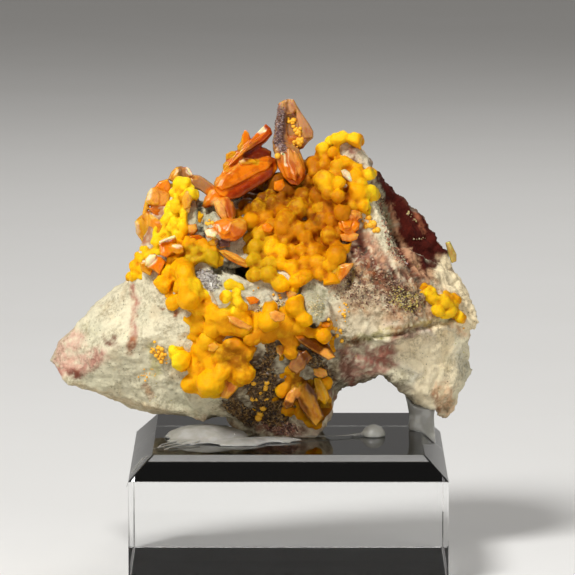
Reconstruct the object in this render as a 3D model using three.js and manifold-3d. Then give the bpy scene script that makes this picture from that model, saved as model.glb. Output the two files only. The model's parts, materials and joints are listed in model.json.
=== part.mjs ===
// A wulfenite and mimetite specimen on its own rock, held by hot glue on a clear bevelled plinth.
// Millimetres, +Z up, +Y towards the back. The origin is the centre of the plinth's underside.
import * as THREE from "three";
import { ConvexGeometry } from "three/addons/geometries/ConvexGeometry.js";
import { ImprovedNoise } from "three/addons/math/ImprovedNoise.js";
import { mergeVertices } from "three/addons/utils/BufferGeometryUtils.js";
import Module from "manifold-3d";

const wasm = await Module();
wasm.setup();

// ---- Driving dimensions ----
const PLINTH_SIDE = 50;
const PLINTH_HEIGHT = 20;
const PLINTH_BEVEL = 3.7;
const TOLERANCE = 1e-3; // points nearer than this are one point
const CLEARANCE = 0.36; // left between pieces that touch, before short edges are closed up
const ROCK_EDGE = 7; // longest edge of a rock facet before it is worn
const ROCK_SHORT_EDGE = 1; // shortest edge of a rock facet before it is worn
const WEAR = [
  { wavelength: 9, amount: 1.5 },
  { wavelength: 3.7, amount: 0.7 },
];
const SHORT_EDGE = 0.32; // edges shorter than this are closed up
const LEAN = 0.134; // heights are set out on planes that drop this much for each mm backwards
const BALL_SPACING = 0.74; // closest two mimetite balls sit, as a share of their radii together
const BALL_REACH = 0.92; // furthest a ball sits from the next one, as the same share
const BALL_LIFT = 0.3; // how far a ball's middle stands off the rock, as a share of its radius
const BALL_TRIES = 70; // seats tried for each mm of a patch's radius

// ---- Solids and geometries ----

// A closed geometry as a manifold-3d solid.
function solidOf(geometry) {
  const bare = geometry.clone();
  bare.deleteAttribute("normal");
  bare.deleteAttribute("uv");
  const merged = mergeVertices(bare, TOLERANCE);
  return new wasm.Manifold(
    new wasm.Mesh({
      numProp: 3,
      vertProperties: new Float32Array(merged.attributes.position.array),
      triVerts: new Uint32Array(merged.index.array),
    }),
  );
}

// A manifold-3d solid as an indexed geometry.
function geometryOf(solid) {
  const mesh = solid.getMesh();
  const geometry = new THREE.BufferGeometry();
  geometry.setAttribute("position", new THREE.BufferAttribute(mesh.vertProperties.slice(), 3));
  geometry.setIndex(new THREE.BufferAttribute(mesh.triVerts.slice(), 1));
  return geometry;
}

function union(solids) {
  return wasm.Manifold.union(solids);
}

// The largest body of a solid, without the chips that a cut leaves. The later passes drop parts
// that hung on by less than the modelling tolerance.
function largestBody(solid) {
  let body = solid;
  for (let pass = 0; pass < 3; pass++) {
    const bodies = (pass ? solidOf(geometryOf(body)) : body).decompose();
    body = bodies.reduce((best, next) => (next.volume() > best.volume() ? next : best));
  }
  return body;
}

function convexSolid(points) {
  return solidOf(new ConvexGeometry(points.map((p) => new THREE.Vector3(...p))));
}

function box([x0, y0, z0], [x1, y1, z1]) {
  return convexSolid([x0, x1].flatMap((x) => [y0, y1].flatMap((y) => [z0, z1].map((z) => [x, y, z]))));
}

// A point on the leaning planes: across, up, and depth.
function placed(x, up, y) {
  return new THREE.Vector3(x, y, up - LEAN * y);
}

// The same geometry with every vertex moved out along its normal.
function inflate(geometry, distance) {
  const grown = geometry.clone();
  grown.computeVertexNormals();
  const { position, normal } = grown.attributes;
  for (let i = 0; i < position.count; i++) {
    const p = new THREE.Vector3().fromBufferAttribute(position, i);
    p.addScaledVector(new THREE.Vector3().fromBufferAttribute(normal, i), distance);
    position.setXYZ(i, p.x, p.y, p.z);
  }
  grown.deleteAttribute("normal");
  return grown;
}

// Closes up edges shorter than a limit, where that folds no facet over and keeps the mesh closed.
function closeShortEdges(geometry, limit) {
  const { position } = geometry.attributes;
  const points = [];
  const around = [];
  for (let i = 0; i < position.count; i++) {
    points.push(new THREE.Vector3().fromBufferAttribute(position, i));
    around.push(new Set());
  }
  const faces = [];
  for (let i = 0; i < geometry.index.count; i += 3) {
    const face = [0, 1, 2].map((k) => geometry.index.getX(i + k));
    face.forEach((a) => around[a].add(faces.length));
    faces.push(face);
  }
  const neighbours = (a) => new Set([...around[a]].flatMap((f) => faces[f]).filter((b) => b !== a));
  const normalOf = (corners) => new THREE.Triangle(...corners).getNormal(new THREE.Vector3());
  const moved = (f, a, b, to) => faces[f].map((c) => (c === a || c === b ? to : points[c]));
  const canClose = (a, b, to) => {
    const shared = [...around[a]].filter((f) => around[b].has(f));
    const common = [...neighbours(a)].filter((c) => neighbours(b).has(c));
    if (shared.length !== 2 || common.length !== 2) return false;
    return [...around[a], ...around[b]].every((f) => {
      if (shared.includes(f)) return true;
      const now = normalOf(faces[f].map((c) => points[c]));
      return now.lengthSq() < 0.5 || normalOf(moved(f, a, b, to)).dot(now) > 0.7;
    });
  };
  for (let closed = true; closed; ) {
    closed = false;
    for (let f = 0; f < faces.length; f++) {
      for (let k = 0; k < 3 && faces[f]; k++) {
        const [a, b] = [faces[f][k], faces[f][(k + 1) % 3]];
        if (points[a].distanceTo(points[b]) > limit) continue;
        const middle = points[a].clone().add(points[b]).multiplyScalar(0.5);
        if (!canClose(a, b, middle)) continue;
        points[a].copy(middle);
        for (const g of [...around[b]]) {
          if (around[a].has(g)) {
            faces[g].forEach((c) => around[c].delete(g));
            faces[g] = null;
          } else {
            faces[g] = faces[g].map((c) => (c === b ? a : c));
            around[a].add(g);
          }
        }
        around[b].clear();
        closed = true;
      }
    }
  }
  const tidied = new THREE.BufferGeometry().setFromPoints(points);
  tidied.setIndex(faces.filter(Boolean).flat());
  return tidied;
}

// A repeatable stream of numbers from 0 to 1.
function randomFrom(seed) {
  let state = seed;
  return () => {
    state = (state * 1664525 + 1013904223) % 4294967296;
    return state / 4294967296;
  };
}

// ---- Plinth ----

function plinthSolid() {
  const half = PLINTH_SIDE / 2;
  const levels = [
    [0, half],
    [PLINTH_HEIGHT - PLINTH_BEVEL, half],
    [PLINTH_HEIGHT, half - PLINTH_BEVEL],
  ];
  return convexSolid(levels.flatMap(([z, r]) => [-r, r].flatMap((x) => [-r, r].map((y) => [x, y, z]))));
}

// ---- Rock ----

// A convex lump from corners given as [x, up, front y, back y].
function lump(corners) {
  const ends = corners.flatMap(([x, up, front, back]) => [placed(x, up, front), placed(x, up, back)]);
  return convexSolid(ends.map((p) => p.toArray()));
}

// A faceted knob: a dodecahedron stretched to half sizes [x, y, z].
function knob([x, y, z], [rx, ry, rz], turn = 0) {
  const geometry = new THREE.DodecahedronGeometry(1);
  geometry.scale(rx, ry, rz);
  geometry.rotateY(turn);
  geometry.translate(x, y, z);
  return solidOf(geometry);
}

const rockLumps = {
  wedge: [
    [-36.8, 34.6, -1, 7],
    [-37.6, 31.8, 0, 6],
    [-35.2, 28.3, -3, 7],
    [-30.5, 40.4, -3, 11],
    [-25.7, 44.6, -4, 13],
    [-18.0, 46.4, -7, 15],
    [-28.0, 25.8, -4, 8],
    [-21.6, 23.4, -4, 9],
    [-13.3, 22.0, -5, 9],
    [-9.0, 38.0, -13, 13],
    [-27.5, 33.8, -8.4, 12],
    [-20.0, 37.4, -11, 12],
  ],
  belly: [
    [-21.0, 42.0, -9, 14],
    [-14.7, 45.4, -11, 16],
    [9.3, 44.6, -11, 17],
    [12.6, 40.0, -12, 17],
    [11.4, 33.4, -11, 13],
    [7.2, 27.5, -9, 9],
    [-12.8, 22.0, -3, 8],
    [-15.6, 25.6, -8, 11],
    [-6.0, 36.4, -14, 10],
  ],
  foot: [
    [-6.5, 31.0, -8, 8],
    [8.6, 29.0, -8, 8],
    [6.8, 23.0, -6, 6],
    [2.6, 17.0, -4.5, 5],
    [-4.0, 17.0, -4.5, 5],
    [-9.6, 21.6, -4, 6],
  ],
  leftPeak: [
    [-25.6, 43.4, -5, 8],
    [-23.0, 50.0, -6, 8],
    [-21.8, 55.8, -5, 6],
    [-18.5, 59.2, -3, 5],
    [-15.0, 59.0, -3, 5],
    [-12.6, 56.0, -6, 6],
    [-8.0, 45.0, -10.5, 12],
    [-19.0, 39.0, -10.5, 10],
  ],
  backWall: [
    [-13.4, 56.0, 4, 12],
    [-4.2, 59.5, 5, 13],
    [5.0, 64.8, 3, 12],
    [10.6, 65.4, 2, 12],
    [13.0, 52.6, 2, 17],
    [12.0, 38.8, 0, 17],
    [-14.1, 38.8, 0, 16],
  ],
  hollowFloor: [
    [-13.0, 48.5, -8.5, 4],
    [-4.0, 45.5, -10.5, 6],
    [8.0, 44.5, -11, 8],
    [-11.0, 56.0, 1, 8],
    [-2.0, 56.5, -1, 8],
    [9.0, 57.5, -2, 8],
    [6.0, 62.5, 1, 8],
  ],
  rightRim: [
    [4.6, 65.0, 0, 8],
    [8.0, 67.0, -3, 8],
    [10.4, 66.6, -3, 8],
    [12.2, 64.8, -3, 8],
    [14.2, 57.5, -6, 8],
    [18.0, 47.0, -8, 10],
    [10.0, 42.0, -12, 10],
    [5.0, 47.0, -8.5, 8],
  ],
  shoulder: [
    [13.2, 52.0, -8, 11],
    [5.0, 43.0, -12, 13],
    [6.0, 35.2, -12.5, 11],
    [17.6, 34.8, -11, 11],
    [28.1, 36.6, -3, 8],
    [29.6, 38.4, -1, 6],
    [28.6, 41.6, -1, 7],
    [26.0, 46.0, 0, 8],
    [18.5, 47.2, -6, 9],
  ],
  redSlab: [
    [12.8, 63.4, 0, 8],
    [17.8, 58.2, 2, 10],
    [22.8, 52.6, 3, 11],
    [26.0, 47.2, 3, 10],
    [24.2, 42.5, 2, 11],
    [15.4, 47.4, 0, 11],
    [13.4, 57.0, 0, 11],
  ],
  rightLump: [
    [12.6, 36.4, -9.5, 8],
    [27.6, 37.0, -3, 6],
    [28.2, 32.0, -2, 5],
    [27.0, 27.6, -3, 5],
    [24.2, 24.6, -3, 4],
    [21.0, 25.2, -3, 5],
    [14.2, 30.6, -7, 7],
  ],
  lintel: [
    [5.6, 36.0, -12, 11],
    [16.0, 35.6, -10, 11],
    [14.6, 29.9, -7, 8],
    [10.2, 29.0, -8, 8],
    [7.0, 27.0, -8.5, 8],
  ],
  back: [
    [-12.0, 57.0, 3, 14],
    [6.0, 62.0, 3, 13],
    [15.0, 48.0, 2, 17],
    [14.0, 37.0, 0, 15],
    [5.0, 27.0, 0, 11],
    [-11.0, 26.0, 0, 10],
    [-23.0, 35.0, 0, 13],
    [-20.0, 47.0, 0, 14],
  ],
};

// Small stones that stick out: two at the right, three on the ledge and one in the left peak.
const rockKnobs = [
  knob([26.9, 1, 30.4], [1.9, 3.4, 2], 0.5),
  knob([25.1, 2, 24.4], [1.7, 3, 2.8], 0.3),
  knob([-8.4, -12, 42.4], [3.6, 3, 2.3], 0.4),
  knob([-3.6, -12.4, 41.6], [2.6, 2.6, 2.4], 1.1),
  knob([-11.6, -7.5, 53.6], [2.3, 2.6, 3.4], 0.2),
  knob([4.6, -13, 41], [3, 2.4, 3], 0.8),
];

// A dark slot under the hollow and a pit in the belly.
const rockCrevices = [
  knob([-8.6, -11, 47], [3, 4, 1.2], 0.1),
  knob([2.6, -14, 33.2], [2, 3, 1.2], 0.7),
];

const perlin = new ImprovedNoise();

// A smooth push in three directions, which bends flat facets into worn ones without folding them.
function warp(point, wavelength, amount) {
  const [x, y, z] = point.clone().divideScalar(wavelength).toArray();
  const push = [perlin.noise(x + 11.3, y, z), perlin.noise(x, y + 27.1, z), perlin.noise(x, y, z + 43.7)];
  return new THREE.Vector3(...push).multiplyScalar(amount);
}

// Splits edges longer than a limit at their middles until none is left, keeping the mesh closed.
function refine(geometry, limit) {
  const { position } = geometry.attributes;
  const points = [];
  for (let i = 0; i < position.count; i++) {
    points.push(new THREE.Vector3().fromBufferAttribute(position, i));
  }
  let faces = [];
  for (let i = 0; i < geometry.index.count; i += 3) {
    faces.push([0, 1, 2].map((k) => geometry.index.getX(i + k)));
  }
  const edgeName = (a, b) => (a < b ? `${a}_${b}` : `${b}_${a}`);
  let middles;
  const split = (face, out) => {
    const cut = face.findIndex((a, k) => middles.has(edgeName(a, face[(k + 1) % 3])));
    if (cut < 0) {
      out.push(face);
      return;
    }
    const [a, b, c] = [face[cut], face[(cut + 1) % 3], face[(cut + 2) % 3]];
    const middle = middles.get(edgeName(a, b));
    split([a, middle, c], out);
    split([middle, b, c], out);
  };
  do {
    middles = new Map();
    for (const face of faces) {
      const lengths = face.map((a, k) => points[a].distanceTo(points[face[(k + 1) % 3]]));
      const longest = lengths.indexOf(Math.max(...lengths));
      const [a, b] = [face[longest], face[(longest + 1) % 3]];
      if (lengths[longest] <= limit || middles.has(edgeName(a, b))) continue;
      points.push(points[a].clone().add(points[b]).multiplyScalar(0.5));
      middles.set(edgeName(a, b), points.length - 1);
    }
    const next = [];
    faces.forEach((face) => split(face, next));
    faces = next;
  } while (middles.size > 0);
  const refined = new THREE.BufferGeometry().setFromPoints(points);
  refined.setIndex(faces.flat());
  return refined;
}

// Everything up to the plinth's top, which cuts the rock's foot flat.
const belowTop = box([-80, -80, -40], [80, 80, PLINTH_HEIGHT]);

function rockSolid() {
  const whole = union([...Object.values(rockLumps).map(lump), ...rockKnobs]);
  const bare = closeShortEdges(geometryOf(whole.subtract(union(rockCrevices))), ROCK_SHORT_EDGE);
  const worn = refine(bare, ROCK_EDGE);
  const { position } = worn.attributes;
  for (let i = 0; i < position.count; i++) {
    const p = new THREE.Vector3().fromBufferAttribute(position, i);
    WEAR.forEach(({ wavelength, amount }) => p.add(warp(p, wavelength, amount)));
    position.setXYZ(i, p.x, p.y, p.z);
  }
  return largestBody(solidOf(worn).subtract(belowTop));
}

const rock = rockSolid();
const rockGeometry = geometryOf(rock);

// The room that is already filled, with the clearance round it. Each piece takes its own out of it.
const rockRoom = solidOf(inflate(rockGeometry, CLEARANCE));
let taken = rockRoom.add(belowTop);

function fitted(solid) {
  const cut = largestBody(solid.subtract(taken));
  const fit = largestBody(solidOf(closeShortEdges(geometryOf(cut), SHORT_EDGE)));
  taken = taken.add(solidOf(inflate(geometryOf(fit), CLEARANCE)));
  return fit;
}

// Where the rock is first met when going straight back along a leaning plane.
const rockTarget = new THREE.Mesh(rockGeometry, new THREE.MeshBasicMaterial({ side: THREE.DoubleSide }));
const inwards = new THREE.Vector3(0, 1, -LEAN).normalize();

function seatOn(x, up) {
  const ray = new THREE.Raycaster(placed(x, up, -60), inwards);
  const [hit] = ray.intersectObject(rockTarget);
  return hit ? { point: hit.point, normal: hit.face.normal } : null;
}

// ---- Wulfenite: square tablets with trimmed corners and bevelled rims ----

// size is [width, height, thickness]; along tips its width up to the right; tip turns its face up;
// swing turns it about the vertical. Angles in degrees.
function tablet({ at, size, along = 0, tip = 0, swing = 0, trim = 0.16 }) {
  const [w, h, t] = size.map((s) => s / 2);
  const bevel = Math.min(t, 0.45);
  const outline = (grow) => {
    const [a, b, c] = [w + grow, h + grow, trim * 2 * Math.min(w, h)];
    return [[a - c, b], [a, b - c], [a, c - b], [a - c, -b], [c - a, -b], [-a, c - b], [-a, b - c], [c - a, b]];
  };
  const rings = [
    [-t, -bevel],
    [0, 0],
    [t, -bevel],
  ];
  const turn = new THREE.Matrix4().makeRotationZ(THREE.MathUtils.degToRad(swing));
  turn.multiply(new THREE.Matrix4().makeRotationY(THREE.MathUtils.degToRad(-along)));
  turn.multiply(new THREE.Matrix4().makeRotationX(THREE.MathUtils.degToRad(-tip)));
  const seat = placed(...at);
  const corners = rings.flatMap(([y, grow]) => outline(grow).map(([x, z]) => new THREE.Vector3(x, y, z)));
  return convexSolid(corners.map((p) => p.applyMatrix4(turn).add(seat).toArray()));
}

// The spire is two long plates over a stubby prism, each set out like a rock lump.
const spireLumps = [
  [
    [-0.6, 73.5, 1.6, 3.2],
    [1.0, 73.6, 1.8, 3.2],
    [3.8, 68.7, 1.0, 2.6],
    [3.7, 66.8, 0.8, 2.6],
    [1.9, 64.8, 0.6, 3.0],
    [-0.6, 65.2, 1.0, 3.4],
  ],
  [
    [-1.5, 73.2, 0.8, 2.8],
    [-0.3, 73.8, 0.8, 2.8],
    [0.2, 69.8, 0, 2.6],
    [-0.3, 64.4, -0.4, 3.0],
    [-2.0, 64.6, 0.2, 3.4],
    [-2.4, 67.2, 0.6, 3.4],
    [-2.0, 70.0, 0.8, 3.2],
  ],
  [
    [-2.0, 65.6, -0.4, 3.4],
    [1.6, 65.6, -0.4, 3.4],
    [2.6, 61.4, -0.8, 3.4],
    [1.8, 60.0, -0.6, 3.4],
    [0.5, 59.8, -0.8, 3.4],
    [-1.3, 62.2, -1.2, 3.4],
    [0.4, 63.4, -1.7, 3.4],
  ],
];

// Each crystal, or crystals grown through one another: at is [x, up, y] on the leaning planes.
const crystals = {
  wulfenite_fan: [
    { at: [-7.1, 60.4, -0.6], size: [13.2, 5.0, 2.6], along: 36, tip: 24, swing: -8 },
    { at: [-6.0, 61.6, 0.8], size: [10.5, 4.4, 1.6], along: 33, tip: 30, swing: -4 },
    { at: [-6.9, 65.0, 1.8], size: [12.4, 6.4, 1.5], along: 43, tip: 70, swing: 6 },
    { at: [-4.0, 64.2, 1.0], size: [5.2, 4.0, 1.5], along: 20, tip: 55, swing: 0 },
    { at: [-11.8, 57.6, -2.2], size: [3.4, 3.6, 2.2], along: 52, tip: 10, swing: 0 },
    { at: [-8.6, 67.4, 1.6], size: [1.3, 2.6, 1.0], along: 8, tip: 0, swing: 20 },
    { at: [-10.6, 64.0, 1.4], size: [1.6, 1.6, 1.2], along: 40, tip: 0, swing: 0 },
  ],
  wulfenite_pendants: [
    { at: [-9.7, 55.6, -3.6], size: [2.4, 4.8, 1.6], along: -12, tip: -10, swing: 30 },
    { at: [-8.7, 55.4, -3.0], size: [1.8, 5.0, 1.5], along: -8, tip: -6, swing: 10 },
  ],
  wulfenite_middle: [
    { at: [-9.8, 52.3, -7.2], size: [5.6, 3.8, 3.0], along: -8, tip: 20, swing: 10 },
    { at: [-11.6, 51.8, -8.0], size: [2.6, 3.2, 1.6], along: 40, tip: 10, swing: -20 },
  ],
  wulfenite_left: [
    { at: [-21.9, 53.6, -3.0], size: [4.8, 7.4, 2.6], along: 12, tip: 6, swing: -25 },
    { at: [-20.6, 59.0, -2.4], size: [3.4, 5.4, 2.6], along: -20, tip: 16, swing: -15 },
    { at: [-22.6, 50.6, -3.4], size: [3.2, 4.6, 1.8], along: 30, tip: 0, swing: 15 },
    { at: [-19.4, 57.6, -4.6], size: [2.6, 3.2, 2.0], along: 38, tip: 24, swing: 10 },
  ],
  wulfenite_peak: [
    { at: [-16.9, 60.6, -0.6], size: [4.6, 4.0, 2.2], along: 10, tip: 18, swing: 0 },
    { at: [-13.9, 59.6, -0.8], size: [5.4, 2.8, 2.0], along: -38, tip: 40, swing: 8 },
  ],
  wulfenite_tablet_1: [{ at: [-19.2, 50.2, -8.6], size: [2.8, 3.6, 1.6], along: 22, tip: 22, swing: -14 }],
  wulfenite_tablet_2: [{ at: [-21.0, 47.6, -8.6], size: [3.2, 3.0, 1.7], along: 36, tip: 12, swing: 20 }],
  wulfenite_tablet_3: [{ at: [10.4, 53.4, -8.4], size: [3.0, 4.2, 1.7], along: -24, tip: 12, swing: 16 }],
  wulfenite_tablet_4: [{ at: [8.7, 45.6, -11.4], size: [2.4, 3.6, 1.5], along: 14, tip: 14, swing: -12 }],
  wulfenite_tablet_5: [
    { at: [3.9, 33.9, -13.2], size: [8.6, 2.4, 1.5], along: -36, tip: 24, swing: 4 },
    { at: [1.5, 32.0, -13.4], size: [2.8, 3.4, 1.6], along: 14, tip: 4, swing: 0 },
  ],
  wulfenite_tablet_6: [{ at: [-9.1, 28.0, -10.6], size: [2.9, 3.8, 2.4], along: 12, tip: -4, swing: 10 }],
  wulfenite_tablet_7: [{ at: [26.3, 48.6, 4.4], size: [1.6, 4.2, 1.3], along: 8, tip: 0, swing: 30 }],
  wulfenite_tablet_8: [{ at: [2.2, 24.9, -9.0], size: [3.4, 3.4, 2.0], along: 30, tip: -10, swing: 0 }],
};

// ---- Mimetite: crusts of balls grown over the rock ----

// Balls set by hand are [x, up, radius]; patches to fill are [x, up, radius].
const crusts = {
  mimetite_hollow: {
    balls: [
      [6.0, 60.2, 1.7],
      [8.6, 63.0, 1.6],
      [4.8, 62.5, 1.3],
      [6.0, 65.4, 1.1],
      [11.0, 59.9, 1.5],
      [10.8, 57.9, 1.7],
      [11.9, 56.7, 1.4],
      [1.4, 56.2, 1.8],
      [-4.1, 55.3, 1.6],
      [-3.6, 52.9, 1.3],
      [5.5, 54.3, 1.6],
      [2.8, 52.0, 1.4],
      [0.4, 53.1, 1.9],
      [-2.6, 49.7, 1.3],
      [4.5, 48.7, 1.7],
      [8.0, 48.4, 1.5],
      [-1.2, 44.3, 1.4],
    ],
    patches: [
      [7.6, 64.4, 3.4],
      [10.4, 60.0, 3.2],
      [4.0, 60.0, 3.2],
      [10.0, 55.6, 3.2],
      [5.6, 55.0, 3.6],
      [0.0, 57.0, 3.6],
      [-3.0, 53.6, 3.6],
      [2.0, 51.0, 4.0],
      [6.4, 50.0, 3.6],
      [-3.6, 48.6, 3.4],
      [0.4, 46.6, 2.6],
      [6.6, 45.8, 2.0],
    ],
    radius: [1.3, 1.8],
    seed: 7,
  },
  mimetite_peak: {
    balls: [
      [-15.6, 57.6, 1.5],
      [-15.4, 54.8, 1.5],
      [-17.2, 53.0, 1.6],
    ],
    patches: [
      [-16.4, 57.6, 2.0],
      [-15.4, 55.0, 2.0],
      [-17.2, 53.6, 2.0],
    ],
    radius: [1.2, 1.6],
    seed: 17,
  },
  mimetite_ridge: {
    balls: [
      [-17.4, 48.0, 1.6],
      [-14.3, 49.1, 1.3],
      [-12.2, 48.3, 1.2],
    ],
    patches: [
      [-16.8, 50.6, 1.6],
      [-16.0, 48.6, 2.6],
      [-20.6, 46.4, 2.2],
      [-12.8, 48.4, 2.0],
      [-23.4, 44.2, 1.8],
      [-18.0, 45.2, 2.0],
    ],
    radius: [1.2, 1.7],
    seed: 11,
  },
  mimetite_ledge: {
    balls: [[-8.8, 43.3, 1.5]],
    patches: [
      [-9.0, 42.8, 1.8],
      [-7.8, 40.8, 1.2],
    ],
    radius: [0.9, 1.2],
    seed: 3,
  },
  mimetite_drape: {
    balls: [
      [-12.0, 38.6, 1.6],
      [-9.4, 37.6, 1.5],
    ],
    patches: [
      [-16.4, 42.4, 2.0],
      [-14.4, 40.6, 2.0],
      [-12.0, 38.6, 2.0],
      [-9.4, 37.6, 2.0],
    ],
    radius: [1.2, 1.7],
    seed: 13,
  },
  mimetite_sill: {
    balls: [[-2.4, 38.0, 1.5]],
    patches: [
      [-4.6, 37.0, 1.6],
      [-2.0, 37.8, 2.0],
      [1.6, 38.6, 2.0],
      [4.4, 37.6, 1.6],
      [0.8, 36.2, 1.4],
    ],
    radius: [1.2, 1.7],
    seed: 31,
  },
  mimetite_apron: {
    balls: [
      [-12.6, 32.6, 1.7],
      [-10.8, 30.4, 1.6],
      [-9.0, 33.6, 1.4],
    ],
    patches: [
      [-12.0, 34.2, 2.0],
      [-13.0, 31.4, 2.4],
      [-11.4, 28.8, 2.0],
      [-8.0, 33.4, 2.0],
      [-4.4, 34.0, 2.0],
      [-14.4, 29.0, 1.6],
      [-8.4, 31.0, 1.6],
    ],
    radius: [1.3, 1.8],
    seed: 29,
  },
  mimetite_foot: {
    balls: [[2.6, 26.8, 1.4]],
    patches: [
      [-2.0, 28.2, 1.2],
      [0.4, 27.0, 1.6],
      [2.2, 26.6, 2.2],
      [4.6, 25.4, 2.0],
      [3.6, 23.6, 1.6],
      [5.4, 28.6, 0.8],
    ],
    radius: [1.1, 1.5],
    seed: 21,
  },
  mimetite_right: {
    balls: [[24.8, 41.0, 1.2]],
    patches: [
      [23.0, 42.0, 1.4],
      [25.0, 40.6, 1.6],
      [26.6, 39.2, 1.2],
    ],
    radius: [0.9, 1.2],
    seed: 5,
  },
  mimetite_ball: {
    balls: [
      [-17.0, 31.9, 1.5],
      [-18.4, 33.2, 0.9],
    ],
    patches: [],
    radius: [1, 1],
    seed: 1,
  },
};

// Large balls are rounder than the small ones between them.
const roundBall = new THREE.IcosahedronGeometry(1, 1);
const smallBall = new THREE.OctahedronGeometry(1, 1);

function ballSolid({ centre, radius, round }, turn) {
  const geometry = (round ? roundBall : smallBall).clone();
  geometry.scale(radius, radius, radius);
  geometry.rotateX(turn * 2);
  geometry.rotateZ(turn * 3);
  geometry.translate(centre.x, centre.y, centre.z);
  return solidOf(geometry);
}

// Grows a crust: each new ball overlaps one already set and keeps clear of the middles of all.
function crustBalls({ balls, patches, radius, seed }) {
  const random = randomFrom(seed);
  const wanted = balls.map(([x, up, r]) => ({ x, up, radius: r, spacing: 0.4, round: true }));
  for (const [x, up, reach] of patches) {
    for (let k = 0; k < BALL_TRIES * reach; k++) {
      const angle = random() * 2 * Math.PI;
      const away = reach * Math.sqrt(random());
      const r = radius[0] + (radius[1] - radius[0]) * random();
      const spot = { x: x + away * Math.cos(angle), up: up + away * Math.sin(angle) };
      wanted.push({ ...spot, radius: r, spacing: BALL_SPACING, round: false });
    }
  }
  const waiting = wanted.flatMap((ball) => {
    const seat = seatOn(ball.x, ball.up);
    if (!seat) return [];
    return [{ ...ball, centre: seat.point.clone().addScaledVector(seat.normal, ball.radius * BALL_LIFT) }];
  });
  const nearness = (a, b) => a.centre.distanceTo(b.centre) / (a.radius + b.radius);
  const set = [waiting.shift()];
  for (let grown = true; grown; ) {
    grown = false;
    waiting.forEach((ball, k) => {
      if (!ball) return;
      const nearest = Math.min(...set.map((other) => nearness(ball, other)));
      if (nearest > BALL_REACH) return;
      if (nearest > ball.spacing) set.push(ball);
      waiting[k] = null;
      grown = true;
    });
  }
  return set;
}

function crustSolid(crust) {
  const whole = union(crustBalls(crust).map(ballSolid));
  return solidOf(closeShortEdges(geometryOf(whole), SHORT_EDGE));
}

// ---- Glue: a smear under the rock, a drop on the plinth and a post under the right leg ----

function glueBlob([x, y], [rx, ry, rz]) {
  const geometry = new THREE.IcosahedronGeometry(1, 1);
  geometry.scale(rx, ry, rz);
  geometry.translate(x, y, PLINTH_HEIGHT);
  return solidOf(geometry);
}

function gluePost() {
  const profile = [[0, 17], [2.4, 17], [2.2, 20.5], [2.1, 22.5], [2.5, 24.5], [3.2, 27], [0, 27]];
  const geometry = new THREE.LatheGeometry(profile.map(([r, z]) => new THREE.Vector2(r, z)), 10);
  geometry.rotateX(Math.PI / 2);
  geometry.translate(21.4, 3.5, 0);
  return solidOf(geometry);
}

const plinth = plinthSolid();
const glues = {
  glue_smear: union([
    glueBlob([-13, -5], [7, 6, 2.2]),
    glueBlob([-8, -10], [5.5, 3.6, 0.9]),
    glueBlob([-15, -9], [5, 3, 0.7]),
    glueBlob([-3, -8], [6, 2.4, 0.7]),
  ]),
  glue_drop: union([glueBlob([13.6, -3], [2.05, 2.05, 2.05]), glueBlob([11.0, -3], [1.6, 0.6, 0.6])]),
};

// ---- Assembly ----

const finish = (color, roughness, extra = {}) =>
  new THREE.MeshStandardMaterial({ color, roughness, metalness: 0, ...extra });
const materials = {
  rock: finish(0xcfcab4, 0.9),
  mimetite: finish(0xf2a705, 0.45),
  wulfenite: finish(0xd9640f, 0.25),
  acrylic: finish(0xf2f6f7, 0.05, { transparent: true, opacity: 0.3 }),
  glue: finish(0xdcdcde, 0.5, { transparent: true, opacity: 0.85 }),
};

const specimen = new THREE.Group();

function addPiece(name, solid, material) {
  const mesh = new THREE.Mesh(geometryOf(solid), material);
  mesh.name = name;
  specimen.add(mesh);
}

addPiece("acrylic_plinth", plinth, materials.acrylic);
addPiece("matrix_rock", rock, materials.rock);
addPiece("wulfenite_spire", fitted(union(spireLumps.map(lump))), materials.wulfenite);
for (const [name, tablets] of Object.entries(crystals)) {
  addPiece(name, fitted(union(tablets.map(tablet))), materials.wulfenite);
}
for (const [name, crust] of Object.entries(crusts)) {
  addPiece(name, fitted(crustSolid(crust)), materials.mimetite);
}
for (const [name, glue] of Object.entries(glues)) addPiece(name, fitted(glue), materials.glue);
addPiece("glue_post", largestBody(gluePost().subtract(plinth).subtract(rockRoom)), materials.glue);

export default specimen;
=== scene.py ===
"""Fine shapes and finishes for a wulfenite and mimetite specimen glued to a clear plinth.

Tables of places are millimetres: x is across and up is the height on planes that lean back, so that a
point at depth y lies LEAN * y lower. Meshes are shaped in millimetres and kept in metres.
"""

import json
import math
import random

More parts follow.
